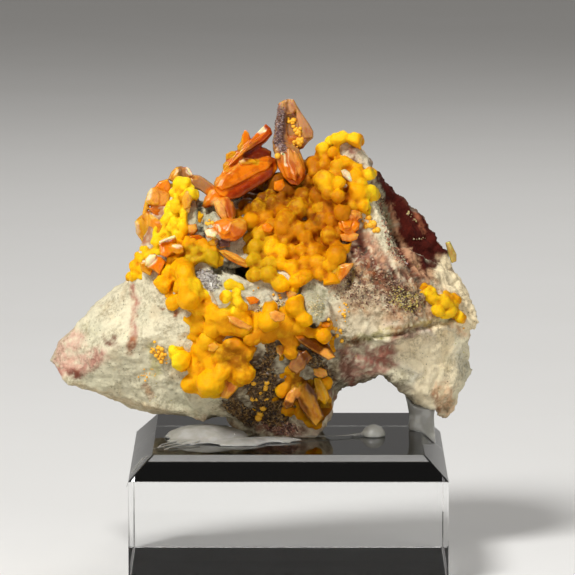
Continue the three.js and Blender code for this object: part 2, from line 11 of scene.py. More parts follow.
import bmesh
import bpy
import numpy as np
from bpy.props import FloatProperty, FloatVectorProperty, IntProperty, PointerProperty
from mathutils import Euler, Matrix, Vector, noise
from mathutils.bvhtree import BVHTree
from mathutils.kdtree import KDTree
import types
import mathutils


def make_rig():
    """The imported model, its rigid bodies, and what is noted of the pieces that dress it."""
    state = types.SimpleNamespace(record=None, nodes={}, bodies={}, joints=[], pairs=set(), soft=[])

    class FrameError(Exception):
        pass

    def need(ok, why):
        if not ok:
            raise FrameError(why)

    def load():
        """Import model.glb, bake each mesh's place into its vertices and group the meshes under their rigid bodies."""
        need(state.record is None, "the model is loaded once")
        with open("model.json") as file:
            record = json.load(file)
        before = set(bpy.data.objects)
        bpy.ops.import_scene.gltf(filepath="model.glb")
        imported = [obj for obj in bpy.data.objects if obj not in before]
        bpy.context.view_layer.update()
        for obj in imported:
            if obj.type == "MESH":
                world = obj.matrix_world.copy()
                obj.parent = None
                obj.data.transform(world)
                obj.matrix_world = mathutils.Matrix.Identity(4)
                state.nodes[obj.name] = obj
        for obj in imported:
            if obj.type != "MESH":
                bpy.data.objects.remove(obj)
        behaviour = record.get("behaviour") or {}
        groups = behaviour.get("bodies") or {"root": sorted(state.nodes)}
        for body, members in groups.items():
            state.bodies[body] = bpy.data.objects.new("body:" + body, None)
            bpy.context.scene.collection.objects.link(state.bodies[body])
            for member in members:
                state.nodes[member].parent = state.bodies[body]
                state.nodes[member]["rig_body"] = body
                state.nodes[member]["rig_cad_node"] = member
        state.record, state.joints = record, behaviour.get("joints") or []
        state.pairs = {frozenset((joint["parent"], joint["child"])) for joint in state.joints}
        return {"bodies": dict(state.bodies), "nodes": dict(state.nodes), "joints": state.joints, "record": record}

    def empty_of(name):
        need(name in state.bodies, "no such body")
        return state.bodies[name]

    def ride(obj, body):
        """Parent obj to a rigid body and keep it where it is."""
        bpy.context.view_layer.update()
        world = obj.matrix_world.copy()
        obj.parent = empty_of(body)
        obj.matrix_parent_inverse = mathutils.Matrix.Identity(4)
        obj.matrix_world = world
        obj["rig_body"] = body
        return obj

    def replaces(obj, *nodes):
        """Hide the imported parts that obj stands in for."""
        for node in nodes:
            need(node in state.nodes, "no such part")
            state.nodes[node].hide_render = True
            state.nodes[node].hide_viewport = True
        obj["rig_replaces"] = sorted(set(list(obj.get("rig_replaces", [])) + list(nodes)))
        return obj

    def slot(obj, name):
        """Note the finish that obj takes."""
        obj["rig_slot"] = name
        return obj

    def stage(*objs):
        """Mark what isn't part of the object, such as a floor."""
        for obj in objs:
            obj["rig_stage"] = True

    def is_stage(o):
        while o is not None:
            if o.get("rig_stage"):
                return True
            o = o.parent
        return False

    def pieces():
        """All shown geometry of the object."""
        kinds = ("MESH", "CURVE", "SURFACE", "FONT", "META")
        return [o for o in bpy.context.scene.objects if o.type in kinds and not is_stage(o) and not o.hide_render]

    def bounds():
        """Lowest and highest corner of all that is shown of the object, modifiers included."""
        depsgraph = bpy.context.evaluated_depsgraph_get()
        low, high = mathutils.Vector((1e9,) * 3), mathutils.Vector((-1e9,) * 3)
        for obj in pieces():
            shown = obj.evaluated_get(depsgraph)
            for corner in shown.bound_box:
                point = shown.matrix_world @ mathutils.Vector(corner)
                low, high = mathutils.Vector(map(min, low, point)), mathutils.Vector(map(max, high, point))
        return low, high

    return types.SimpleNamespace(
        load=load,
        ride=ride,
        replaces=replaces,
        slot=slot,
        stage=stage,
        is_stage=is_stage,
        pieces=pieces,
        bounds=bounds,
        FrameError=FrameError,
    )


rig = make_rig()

bl_info = {
    "name": "Wulfenite and mimetite specimen",
    "version": (1, 0, 0),
    "blender": (4, 5, 0),
    "location": "View3D > Sidebar > Specimen",
    "description": "Rock, mimetite balls, wulfenite crystals, glue, clear plinth and studio",
    "category": "Add Mesh",
}

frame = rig.load()
cad_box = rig.bounds()

MM = 0.001
LEAN = 0.134  # how far a plane of places falls for each millimetre of depth
INWARDS = Vector((0, 1, -LEAN)).normalized()
plinth = frame["nodes"]["acrylic_plinth"]
PLINTH_TOP = round(max(vertex.co.z for vertex in plinth.data.vertices) / MM, 3)
WELD = 1e-3  # points nearer than this, in millimetres, become one point
FAR_OUT = 60  # how far before the middle a line back towards the specimen starts

# Stains on the rock's front, painted light and shade among them: colour, strength, reach, softness and the line that
# they follow. The near-black strokes are painted shade along cracks and in the hollows under crystals.
STAINS = [
    # Painted shade: grey-green over the wedge's lower face, which turns away from the light.
    ("grey_green", 0.25, 3.2, 2.9, [(-28.2, 27.4), (-22.1, 29.9), (-16.0, 26.7), (-11.7, 23.8)]),
    ("pink", 0.85, 0.9, 1.6, [(-36.4, 30.6), (-36.0, 33.5), (-34.0, 35.2)]),
    ("pink", 0.85, 0.8, 1.1, [(-36.3, 31.5), (-33.5, 31.3), (-29.8, 32.7)]),
    ("rose", 0.6, 0.4, 0.8, [(-36.0, 30.2), (-33.6, 29.9), (-31.6, 30.6), (-29.8, 32.4)]),
    ("plum", 0.75, 0.4, 0.6, [(-34.2, 29.5), (-33.3, 29.8)]),
    ("plum", 0.55, 0.2, 0.5, [(-29.1, 35.4), (-27.2, 34.3)]),
    ("rose", 0.85, 0.15, 0.7, [(-24.8, 44.1), (-24.2, 41.5), (-24.6, 38.3), (-24.8, 34.3)]),
    ("rust", 0.9, 1.4, 1.0, [(-23.7, 55.4), (-20.5, 55.7), (-21.8, 50.6)]),
    ("plum", 0.8, 0.4, 0.5, [(-34.9, 29.9), (-33.3, 29.3)]),
    ("plum", 0.8, 0.2, 0.4, [(-28.8, 34.8), (-27.5, 35.4)]),
    ("rust", 0.7, 0.3, 0.6, [(-24.6, 35.4), (-25.0, 33.5)]),
    ("rust", 0.9, 0.4, 0.3, [(-17.8, 39.6), (-17.9, 39.3)]),
    ("rust", 0.8, 0.2, 0.2, [(-19.9, 40.2), (-19.7, 40.2)]),
    ("rust", 0.6, 0.3, 0.5, [(-22.6, 27.9), (-21.8, 25.8)]),
    ("tan", 0.55, 0.3, 1.1, [(-34.5, 27.4), (-28.5, 25.8), (-22.1, 23.8), (-17.0, 22.1)]),
    ("olive", 0.5, 0.5, 0.6, [(-21.6, 33.8), (-20.8, 32.2), (-21.1, 29.9)]),
    ("rust", 0.5, 0.6, 1.3, [(-14.1, 21.6), (-9.6, 21.3)]),
    ("rose", 0.4, 1.0, 1.3, [(1.8, 20.9), (5.8, 20.3)]),
    ("stone", 0.8, 1.3, 1.0, [(-14.9, 55.4), (-12.7, 54.7)]),
    ("soot_and_shade", 0.95, 0.3, 0.4, [(-14.1, 57.6), (-14.0, 54.4), (-13.5, 51.2)]),
    ("rust", 0.6, 0.5, 0.6, [(-15.7, 51.8), (-14.3, 51.0)]),
    ("soot_and_shade", 0.9, 0.6, 0.8, [(-11.2, 46.7), (-9.0, 47.0), (-6.1, 45.6)]),
    ("soot_and_shade", 0.6, 0.3, 0.5, [(-5.8, 47.0), (-4.2, 45.4)]),
    ("chalk", 0.6, 1.4, 1.0, [(-14.4, 46.0), (-13.2, 44.8), (-14.8, 44.1)]),
    ("umber", 0.6, 0.6, 0.8, [(-22.1, 49.3), (-18.9, 48.6)]),
    ("stone", 0.8, 1.6, 1.3, [(-11.2, 43.1), (-7.7, 43.5), (-2.1, 42.8)]),
    ("stone", 0.85, 1.9, 0.8, [(3.8, 42.8), (4.7, 39.9), (3.4, 38.6)]),
    ("soot_and_shade", 0.8, 0.2, 0.4, [(1.8, 44.4), (1.8, 41.5), (2.5, 38.3), (5.0, 36.7)]),
    ("umber", 0.7, 0.6, 0.8, [(8.9, 47.7), (10.1, 46.4), (9.5, 43.5)]),
    ("clay", 0.9, 3.8, 2.0, [(9.0, 48.3), (14.3, 43.1), (19.4, 39.6)]),
    ("clay", 0.6, 1.6, 1.6, [(7.9, 38.6), (13.3, 38.6)]),
    ("plum", 0.6, 0.6, 1.0, [(10.1, 52.5), (13.3, 47.7), (16.5, 42.8), (19.7, 40.7)]),
    ("pink", 0.65, 0.8, 1.0, [(11.1, 51.2), (12.7, 47.7)]),
    ("pink", 0.7, 1.1, 1.1, [(15.3, 41.5), (16.5, 38.6)]),
    ("cream", 0.6, 1.0, 1.1, [(8.2, 37.5), (13.8, 38.0), (17.8, 38.6)]),
    ("umber", 0.6, 1.3, 1.1, [(17.0, 42.2), (20.0, 40.9)]),
    ("oxblood", 1, 2.2, 1.1, [(15.3, 61.2), (19.1, 55.7), (22.9, 49.6), (25.1, 47.0)]),
    ("oxblood", 1, 1.6, 1.0, [(17.8, 51.2), (21.6, 46.7)]),
    ("ember", 0.4, 0.1, 0.3, [(13.7, 60.1), (15.9, 55.7), (17.2, 51.8), (19.1, 48.3), (21.6, 43.8)]),
    ("ember", 0.6, 0.2, 0.3, [(17.5, 59.2), (19.7, 56.3), (21.6, 52.5)]),
    ("peach", 0.85, 1.4, 1.0, [(24.2, 46.0), (26.1, 42.2), (28.0, 37.4)]),
    ("chalk", 0.7, 0.6, 0.8, [(27.1, 43.1), (28.7, 38.6)]),
    ("soot_and_shade", 0.9, 0.1, 0.2, [(9.0, 34.6), (13.3, 35.4), (17.8, 36.2), (25.1, 38.0), (27.4, 39.1)]),
    ("olive", 0.45, 0.4, 0.5, [(9.0, 34.9), (17.8, 36.7), (25.1, 38.5)]),
    ("plum", 0.75, 1.1, 1.3, [(10.1, 34.1), (13.8, 32.5), (17.8, 34.1)]),
    ("rose", 0.8, 1.4, 1.3, [(9.8, 30.6), (13.3, 30.9), (15.9, 32.5)]),
    ("rose", 0.5, 0.8, 1.3, [(17.8, 34.8), (24.2, 36.4)]),
    # Painted light: chalk over the right leg, paler where it faces away from the key light.
    ("chalk", 0.75, 2.9, 1.9, [(20.7, 33.2), (24.2, 31.1), (22.9, 27.9)]),
    ("umber", 0.7, 1.0, 1.3, [(10.1, 26.7), (14.9, 28.0), (19.7, 25.8)]),
    # Painted light: ivory over the right leg as well.
    ("lit_ivory", 0.75, 2.2, 1.6, [(19.8, 33.4), (23.6, 32.2), (24.6, 29.4), (22.6, 27.2)]),
    ("lit_ivory", 0.9, 0.9, 0.7, [(24.0, 37.2), (25.2, 34.6), (25.2, 31.4)]),
    ("stone", 0.6, 1.0, 1.0, [(26.6, 31.9), (27.9, 29.9)]),
    ("plum", 0.7, 0.6, 0.7, [(17.2, 36.4), (20.4, 36.4)]),
    ("rose", 0.8, 0.5, 0.6, [(8.6, 33.4), (9.2, 30.2), (10.4, 27.6)]),
    ("peach", 0.8, 1.2, 0.8, [(24.6, 27.0), (25.1, 25.2), (25.3, 23.5)]),
    ("rust", 0.6, 0.3, 0.5, [(23.4, 26.2), (23.8, 23.6)]),
    ("umber", 0.85, 2.7, 1.4, [(-7.7, 28.7), (-4.2, 29.3), (-1.7, 25.1), (-4.2, 21.6)]),
    ("umber", 0.7, 1.4, 1.3, [(6.6, 34.3), (8.5, 30.9), (5.4, 25.8)]),
    ("umber", 0.8, 1.6, 1.1, [(0.2, 34.3), (1.8, 29.9)]),
    ("rose", 0.5, 0.8, 1.1, [(6.6, 25.4), (7.6, 22.5)]),
    ("clay", 0.85, 2.2, 1.6, [(10.1, 44.4), (14.0, 42.2), (17.2, 40.9)]),
    ("pink", 0.75, 1.1, 1.0, [(11.4, 66.0), (12.4, 64.1), (13.3, 62.1)]),
    ("plum", 0.85, 0.8, 0.8, [(9.0, 67.3), (10.1, 65.7), (10.8, 63.8)]),
    ("chalk", 0.8, 0.5, 0.6, [(7.6, 66.3), (8.9, 66.3)]),
    ("plum", 0.8, 0.5, 0.6, [(5.4, 64.4), (7.9, 64.1)]),
    ("cream", 0.9, 0.7, 0.6, [(11.7, 64.4), (13.3, 60.9), (14.3, 56.8), (14.6, 53.6), (15.9, 50.4)]),
    ("grey_green", 0.9, 0.5, 0.4, [(14.3, 59.2), (15.3, 55.2), (16.5, 52.8)]),
    ("plum", 0.8, 0.5, 0.6, [(10.8, 51.5), (12.7, 49.3), (15.6, 45.4), (18.1, 43.1)]),
    ("pink", 0.8, 0.6, 0.6, [(12.4, 51.2), (14.6, 48.3), (17.5, 44.8)]),
    ("soot_and_shade", 0.7, 0.3, 0.5, [(15.3, 47.7), (17.5, 44.4), (19.7, 42.2)]),
    ("ember", 0.5, 0.1, 0.3, [(14.6, 58.3), (16.2, 55.4), (17.5, 52.5), (19.1, 49.6), (21.0, 47.0),
     (22.3, 44.1)]),
    ("peach", 0.8, 0.2, 0.3, [(16.5, 57.0), (17.2, 54.1)]),
    ("peach", 0.8, 0.2, 0.3, [(18.4, 50.2), (20.4, 47.7), (22.0, 44.4)]),
    ("soot_and_shade", 0.8, 0.5, 0.6, [(13.7, 62.8), (15.3, 60.2), (16.5, 57.6)]),
    ("umber", 0.7, 0.6, 0.6, [(14.3, 62.1), (16.5, 59.2), (18.4, 58.0)]),
    ("peach", 0.7, 1.0, 0.8, [(24.2, 47.7), (25.5, 45.6)]),
    # Painted light: ivory over the pale lump at the far right, where it faces away from the key light.
    ("lit_ivory", 1, 2.0, 0.9, [(25.5, 46.4), (27.1, 44.1), (28.0, 40.9), (28.7, 38.6)]),
    ("plum", 0.9, 0.7, 0.5, [(10.5, 52.5), (11.7, 51.2), (12.1, 49.6)]),
    ("salmon", 0.8, 0.7, 0.6, [(12.7, 51.5), (13.7, 49.6), (14.5, 48.0)]),
    ("plum", 0.9, 0.5, 0.4, [(10.8, 49.6), (12.4, 47.0), (14.3, 44.1), (15.9, 41.5)]),
    ("plum", 0.85, 0.4, 0.4, [(13.3, 47.7), (15.3, 44.8), (16.8, 41.9)]),
    ("soot_and_shade", 0.85, 0.5, 0.4, [(15.3, 46.0), (16.8, 43.5), (18.1, 41.5)]),
    ("rust", 0.7, 0.5, 0.5, [(12.1, 47.3), (13.3, 45.7)]),
    ("cream", 0.6, 0.5, 0.4, [(15.3, 50.6), (16.8, 47.7), (18.1, 45.4)]),
    ("salmon", 0.85, 0.4, 0.3, [(16.2, 49.6), (18.1, 46.4), (19.7, 44.1)]),
    ("plum", 0.8, 0.4, 0.3, [(17.5, 49.3), (19.4, 46.0), (21.0, 43.8)]),
    ("oxblood", 0.95, 0.7, 0.5, [(15.1, 61.8), (16.4, 59.2), (17.8, 56.7)]),
    ("oxblood", 0.95, 1.0, 0.5, [(17.8, 56.8), (19.1, 54.1), (20.7, 51.2), (22.6, 47.7)]),
    ("ember", 0.5, 0.1, 0.2, [(16.0, 57.6), (16.7, 56.0), (17.3, 54.1)]),
    ("ember", 0.6, 0.1, 0.2, [(20.2, 57.2), (21.6, 55.4), (23.1, 52.8)]),
    ("salmon", 0.95, 0.3, 0.25, [(16.8, 52.8), (18.1, 50.2), (19.7, 47.7), (21.6, 44.8)]),
    ("cream", 0.6, 1.3, 1.0, [(9.8, 43.5), (12.4, 42.2), (14.6, 40.6)]),
    ("umber", 0.85, 2.4, 1.3, [(-4.9, 30.9), (-4.2, 27.4), (-2.9, 23.8)]),
    ("umber", 0.8, 1.3, 0.8, [(-9.0, 24.8), (-6.1, 22.5)]),
    ("plum", 0.7, 1.0, 0.8, [(-3.6, 21.3), (1.2, 20.4)]),
    ("umber", 0.7, 0.8, 0.6, [(-7.7, 34.1), (-9.0, 34.6)]),
    ("umber", 0.8, 1.3, 0.8, [(-0.7, 34.5), (1.5, 33.2)]),
    ("umber", 0.8, 1.3, 0.8, [(3.4, 32.5), (6.3, 29.0)]),
    ("pale_green", 0.9, 1.4, 0.8, [(4.1, 42.5), (3.8, 39.6), (2.8, 38.3)]),
    ("pale_green", 0.9, 0.7, 0.6, [(-14.8, 56.7), (-14.8, 54.1)]),
    ("pale_green", 0.9, 0.8, 0.6, [(-12.8, 55.7), (-12.5, 53.5)]),
    ("rust", 0.7, 0.5, 0.5, [(-15.4, 56.3), (-14.8, 57.0)]),
    ("soot_and_shade", 0.95, 0.2, 0.3, [(-14.0, 57.4), (-13.9, 54.4), (-13.3, 52.0)]),
    ("soot_and_shade", 0.95, 1.6, 1.2, [(-8.4, 55.4), (-6.5, 57.6), (-4.2, 59.9)]),
]
STONE_COLOURS = {
    "cream": (0.78, 0.71, 0.50),
    "chalk": (0.86, 0.81, 0.66),
    "grey_green": (0.50, 0.49, 0.34),
    "stone": (0.52, 0.50, 0.38),
    "pink": (0.68, 0.40, 0.30),
    "rose": (0.42, 0.15, 0.11),
    "plum": (0.17, 0.044, 0.026),
    "oxblood": (0.075, 0.008, 0.004),
    "ember": (0.50, 0.17, 0.08),
    "rust": (0.36, 0.11, 0.03),
    "peach": (0.80, 0.50, 0.28),
    "tan": (0.52, 0.34, 0.16),
    "olive": (0.42, 0.38, 0.06),
    "clay": (0.42, 0.22, 0.10),
    "salmon": (0.64, 0.34, 0.19),
    "pale_green": (0.46, 0.43, 0.27),
    # Ivory: pale rock made paler still, as painted light where the rock faces away from the key light.
    "lit_ivory": (0.95, 0.80, 0.52),
    "umber": (0.10, 0.055, 0.028),
    # Near-black: painted shade in cracks and hollows, and dark specks along the slope.
    "soot_and_shade": (0.020, 0.014, 0.010),
}
# What tints the stone in its finish: grit, pale clouds, pits and specks.
STONE_SHADE = (0.30, 0.25, 0.17)
STONE_LIGHT = (0.80, 0.74, 0.60)
PIT = (0.06, 0.045, 0.03)
SPECK = (0.45, 0.38, 0.08)
# Stains that cover the stone without patches: oxblood, and ivory as painted light.
WHOLE_STAINS = ("oxblood", "lit_ivory")
# The streaked slope at the right.
SLOPE_LINE = [(8.5, 49.5), (13.5, 45.0), (19.0, 42.0)]
# Cracks cut into the rock's front: depth, half width and line.
CRACKS = [
    (1.0, 0.5, [(-14.1, 58.2), (-14.0, 54.4), (-13.5, 51.0)]),
    (1.6, 0.9, [(-11.4, 46.5), (-9.0, 47.0), (-6.1, 45.6)]),
    (0.7, 0.4, [(-5.8, 47.0), (-4.2, 45.4)]),
    (0.7, 0.4, [(1.6, 44.6), (1.8, 41.5), (2.5, 38.3), (5.0, 36.7), (8.8, 35.0)]),
    (0.9, 0.45, [(8.9, 48.2), (10.1, 46.4), (9.5, 43.5)]),
    (0.9, 0.35, [(9.0, 34.6), (13.3, 35.4), (17.8, 36.2), (25.1, 38.0), (27.4, 39.1)]),
    (0.8, 0.5, [(13.0, 60.6), (15.2, 55.9), (16.6, 51.8), (18.6, 48.0), (21.0, 43.8)]),
    (0.6, 0.4, [(14.5, 47.5), (17.6, 43.0), (20.6, 39.6)]),
    (0.7, 0.5, [(10.4, 33.6), (14.6, 31.6), (19.4, 29.4)]),
]

# Balls set one by one: x, up, radius and, for a few, how far they are sunk as a share of the radius.
CRUST_BALLS = {
    "mimetite_hollow": [
        (5.6, 60.5, 1.8, -0.6), (7.9, 60.2, 1.1, -0.9), (6.2, 58.6, 1.0, -1.0), (7.9, 58.1, 1.1, -0.9),
        (3.1, 60.5, 1.3), (-1.5, 60.1, 2.0, 0.5), (-3.4, 59.9, 1.8, 0.5), (0.4, 59.9, 1.7, 0.5),
        (1.5, 56.3, 1.8), (-0.9, 55.7, 1.2), (5.0, 56.5, 1.3), (-2.5, 57.0, 1.4), (-4.7, 56.3, 1.4),
        (-6.5, 56.7, 1.4), (-7.7, 53.8, 1.1), (-8.1, 55.2, 1.1), (-0.2, 59.2, 1.6), (-2.6, 59.9, 1.4),
        (2.3, 58.4, 1.3), (-3.6, 54.6, 1.6), (-3.7, 52.6, 1.2), (-6.3, 51.2, 1.1), (-5.2, 49.9, 1.4),
        (-6.6, 49.4, 1.0), (-0.9, 53.1, 1.8), (-2.6, 50.4, 1.4), (-2.9, 48.9, 1.3), (1.5, 52.8, 1.5),
        (2.8, 51.4, 1.4), (5.7, 54.1, 1.8), (6.3, 51.8, 1.4), (3.8, 49.3, 1.8), (4.7, 47.3, 1.4),
        (9.0, 49.7, 1.0), (7.8, 46.4, 1.4), (-4.2, 46.7, 1.4), (-5.2, 45.6, 1.1), (-3.1, 45.7, 1.4),
        (0.1, 46.7, 1.2), (-1.3, 44.0, 1.4), (0.7, 43.1, 1.0), (2.3, 44.8, 0.9), (10.5, 61.2, 1.4),
        (10.9, 58.6, 1.7), (9.8, 56.5, 1.3), (11.7, 56.7, 1.2), (7.8, 62.8, 1.3), (9.3, 62.2, 1.0),
        (5.7, 63.1, 1.1), (3.9, 63.4, 1.1), (6.8, 66.8, 1.1), (8.5, 67.6, 1.1), (5.4, 65.7, 1.1),
        (4.1, 62.1, 1.0), (7.6, 67.3, 1.0), (-5.8, 47.7, 1.0), (-6.9, 45.4, 0.7),
        (-6.0, 54.3, 1.4), (-5.5, 52.6, 1.3), (-6.1, 55.9, 1.3),
        (6.8, 56.3, 1.6), (4.6, 58.3, 1.4), (-0.4, 54.4, 1.6), (-3.3, 52.3, 1.3),
    ],
    "mimetite_peak": [
        (-18.6, 60.4, 1.0), (-17.3, 60.2, 1.1), (-16.2, 60.4, 0.9), (-18.3, 58.6, 1.0), (-17.0, 58.4, 1.2),
        (-15.6, 58.6, 1.0), (-14.4, 58.8, 1.1), (-13.6, 59.2, 0.8),
    ],
    "mimetite_ridge": [
        (-16.8, 51.7, 1.3), (-14.8, 49.1, 1.0), (-12.2, 48.6, 1.4), (-13.6, 50.4, 1.0), (-15.7, 48.1, 1.0),
        (-16.0, 50.2, 1.0), (-18.6, 56.7, 1.0), (-18.1, 55.1, 1.1), (-19.2, 54.3, 1.1), (-19.9, 52.5, 1.2),
        (-21.0, 50.7, 1.1), (-18.6, 52.5, 1.1), (-17.0, 53.8, 1.0), (-17.3, 55.9, 0.8), (-22.1, 48.6, 1.0),
        (-23.2, 46.7, 1.0), (-24.3, 45.6, 0.8), (-22.6, 49.7, 1.0), (-23.5, 48.3, 1.0), (-24.3, 47.0, 1.0),
        (-25.1, 45.2, 0.9), (-17.9, 53.1, 1.3),
    ],
    "mimetite_ledge": [
        (-9.2, 43.8, 1.3), (-7.7, 43.6, 1.0), (-8.4, 41.9, 1.0), (-8.7, 40.7, 0.8),
    ],
    "mimetite_drape": [
        (-19.2, 44.3, 1.4), (-17.6, 43.3, 1.5), (-16.3, 42.0, 1.4), (-14.9, 41.1, 1.4), (-13.6, 43.3, 1.0),
        (-12.5, 42.5, 0.9), (-18.6, 45.4, 1.0), (-16.2, 38.5, 0.9), (-14.0, 38.0, 2.2), (-11.9, 39.6, 1.3),
        (-10.1, 38.8, 1.1), (-15.2, 36.1, 1.4), (-13.2, 35.1, 1.9), (-10.8, 35.4, 1.4),
    ],
    "mimetite_sill": [
        (-7.6, 36.5, 1.4), (-5.3, 38.6, 1.6), (-6.8, 39.6, 1.1), (-2.9, 40.2, 1.4), (-0.5, 38.3, 2.0),
        (1.7, 37.4, 1.4), (0.7, 40.1, 1.3), (-2.8, 37.4, 1.4), (-4.9, 36.2, 1.3), (-0.4, 35.4, 1.2),
        (-5.0, 33.5, 1.2), (3.3, 36.2, 1.0), (5.4, 35.4, 1.0), (6.3, 33.5, 0.8),
    ],
    "mimetite_apron": [
        (-14.1, 31.2, 2.1), (-15.7, 28.2, 1.5), (-13.2, 28.8, 1.8), (-11.6, 30.1, 1.4), (-11.7, 27.0, 1.4),
        (-10.6, 33.0, 1.6), (-9.5, 34.6, 1.1), (-13.3, 33.5, 1.8), (-9.2, 31.4, 1.3), (-7.1, 30.9, 0.8),
    ],
    "mimetite_foot": [
        (0.7, 29.5, 1.5), (-2.3, 26.2, 1.0), (-0.1, 24.1, 1.5), (4.4, 23.2, 1.6), (4.7, 27.4, 1.3),
        (5.7, 25.4, 1.3), (2.5, 25.8, 1.6), (2.2, 23.5, 1.3), (3.4, 28.7, 1.1), (-1.2, 32.5, 0.8),
    ],
    "mimetite_right": [
        (22.9, 42.0, 1.1), (24.3, 41.2, 1.4), (25.6, 39.8, 1.1), (22.0, 42.8, 0.8), (23.7, 39.8, 1.1),
        (25.0, 42.3, 0.8), (26.3, 41.1, 0.8),
    ],
    "mimetite_ball": [
        (-17.0, 32.0, 1.6), (-18.3, 33.5, 0.9),
    ],
}
# Where more balls grow over a crust and the rock beside it: reach, least and most radius, and line.
CRUST_FILLS = {
    "mimetite_hollow": [
        (1.2, 0.8, 1.3, [(-6.8, 56.7), (-5.2, 57.6), (-3.3, 59.2), (-0.7, 59.6)]),
        (1.6, 0.9, 1.5, [(1.8, 61.5), (4.7, 62.5), (6.6, 64.1), (5.4, 65.7)]),
        (2.2, 1.0, 1.6, [(-4.2, 53.5), (0.2, 55.2), (3.4, 53.6), (6.6, 56.8)]),
        (2.0, 1.0, 1.5, [(-4.2, 47.7), (0.2, 49.6), (5.0, 49.9), (7.9, 47.7)]),
        (1.2, 0.7, 1.2, [(9.0, 61.7), (11.7, 60.5), (11.7, 55.4)]),
    ],
    "mimetite_peak": [
        (1.2, 0.5, 0.9, [(-18.6, 59.9), (-15.7, 59.2), (-14.1, 58.9)]),
    ],
    "mimetite_ridge": [
        (1.4, 0.5, 0.9, [(-17.3, 57.6), (-18.9, 54.1), (-20.8, 51.2), (-22.1, 48.9)]),
        (1.3, 0.6, 1.1, [(-16.3, 50.2), (-12.2, 48.6)]),
        (0.8, 0.5, 0.8, [(-22.1, 47.7), (-24.3, 45.4)]),
        (0.7, 0.5, 0.9, [(-22.6, 49.9), (-23.9, 47.7), (-25.3, 45.1)]),
    ],
    "mimetite_drape": [
        (1.6, 1.0, 1.6, [(-19.2, 44.8), (-15.7, 41.5), (-12.8, 38.6)]),
    ],
    "mimetite_sill": [
        (1.4, 1.0, 1.6, [(-6.8, 38.3), (-2.1, 39.0), (1.8, 38.0)]),
        (1.0, 0.6, 1.0, [(4.7, 36.7), (7.0, 33.8)]),
        (0.7, 0.6, 0.9, [(-4.2, 34.3), (-5.5, 31.6)]),
    ],
    "mimetite_apron": [
        (2.0, 1.1, 1.8, [(-15.1, 33.5), (-13.5, 29.9), (-11.6, 28.0)]),
    ],
    "mimetite_foot": [
        (1.4, 0.9, 1.4, [(0.2, 29.3), (3.8, 27.4), (4.7, 23.8)]),
        (0.5, 0.4, 0.7, [(-5.2, 24.1), (-4.9, 21.9)]),
        (0.5, 0.5, 0.7, [(-3.9, 28.0), (-2.6, 28.0)]),
    ],
    "mimetite_right": [
        (1.0, 0.4, 0.8, [(21.6, 43.1), (24.2, 41.5), (26.1, 39.9)]),
    ],
}
# Where no ball grows: reach and line.
BARE_ROCK = [
    (1.3, [(-0.4, 64.7), (0.6, 61.2)]),
    (1.2, [(12.5, 66.8), (13.7, 64.1), (14.9, 60.9), (15.4, 56.8), (16.2, 52.5)]),
    (1.2, [(9.2, 65.8), (11.4, 64.4)]),
    (1.1, [(-14.9, 56.7), (-15.1, 54.1)]),
    (1.0, [(-12.8, 56.3), (-12.7, 53.5)]),
    (1.4, [(4.1, 43.5), (3.8, 40.6)]),
    (1.4, [(11.4, 51.2), (10.5, 47.7), (9.8, 44.8)]),
    (1.3, [(-13.8, 46.4), (-11.2, 45.4)]),
    (0.8, [(-6.1, 41.9), (-2.6, 41.9)]),
    (1.0, [(-21.8, 58.9), (-21.1, 56.0), (-22.3, 53.5), (-22.9, 51.2)]),
    (0.6, [(1.8, 33.8), (3.8, 31.9)]),
    (0.8, [(-14.1, 57.0), (-14.1, 53.1)]),
    (1.1, [(6.0, 43.0), (9.0, 43.3)]),
    (1.9, [(-4.0, 32.1), (-3.4, 32.6)]),
]
# How each crust grows: its seeded balls' least and most radius, how far set balls are sunk as a share
# of their radius, and how far all have melted into one another, in rounds of smoothing.
CRUST_GROWTH = {
    "mimetite_hollow": (1.2, 1.9, 0.4, 2),
    "mimetite_peak": (0.5, 1.0, 0.4, 1),
    "mimetite_ridge": (0.6, 1.1, 0.5, 2),
    "mimetite_ledge": (0.6, 1.0, 0.5, 2),
    "mimetite_drape": (1.3, 2.2, 0.72, 22),
    "mimetite_sill": (1.2, 2.0, 0.7, 18),
    "mimetite_apron": (1.4, 2.3, 0.72, 22),
    "mimetite_foot": (1.0, 1.5, 0.6, 8),
    "mimetite_right": (0.4, 0.8, 0.4, 1),
    "mimetite_ball": (0.5, 0.6, 0.2, 1),
}
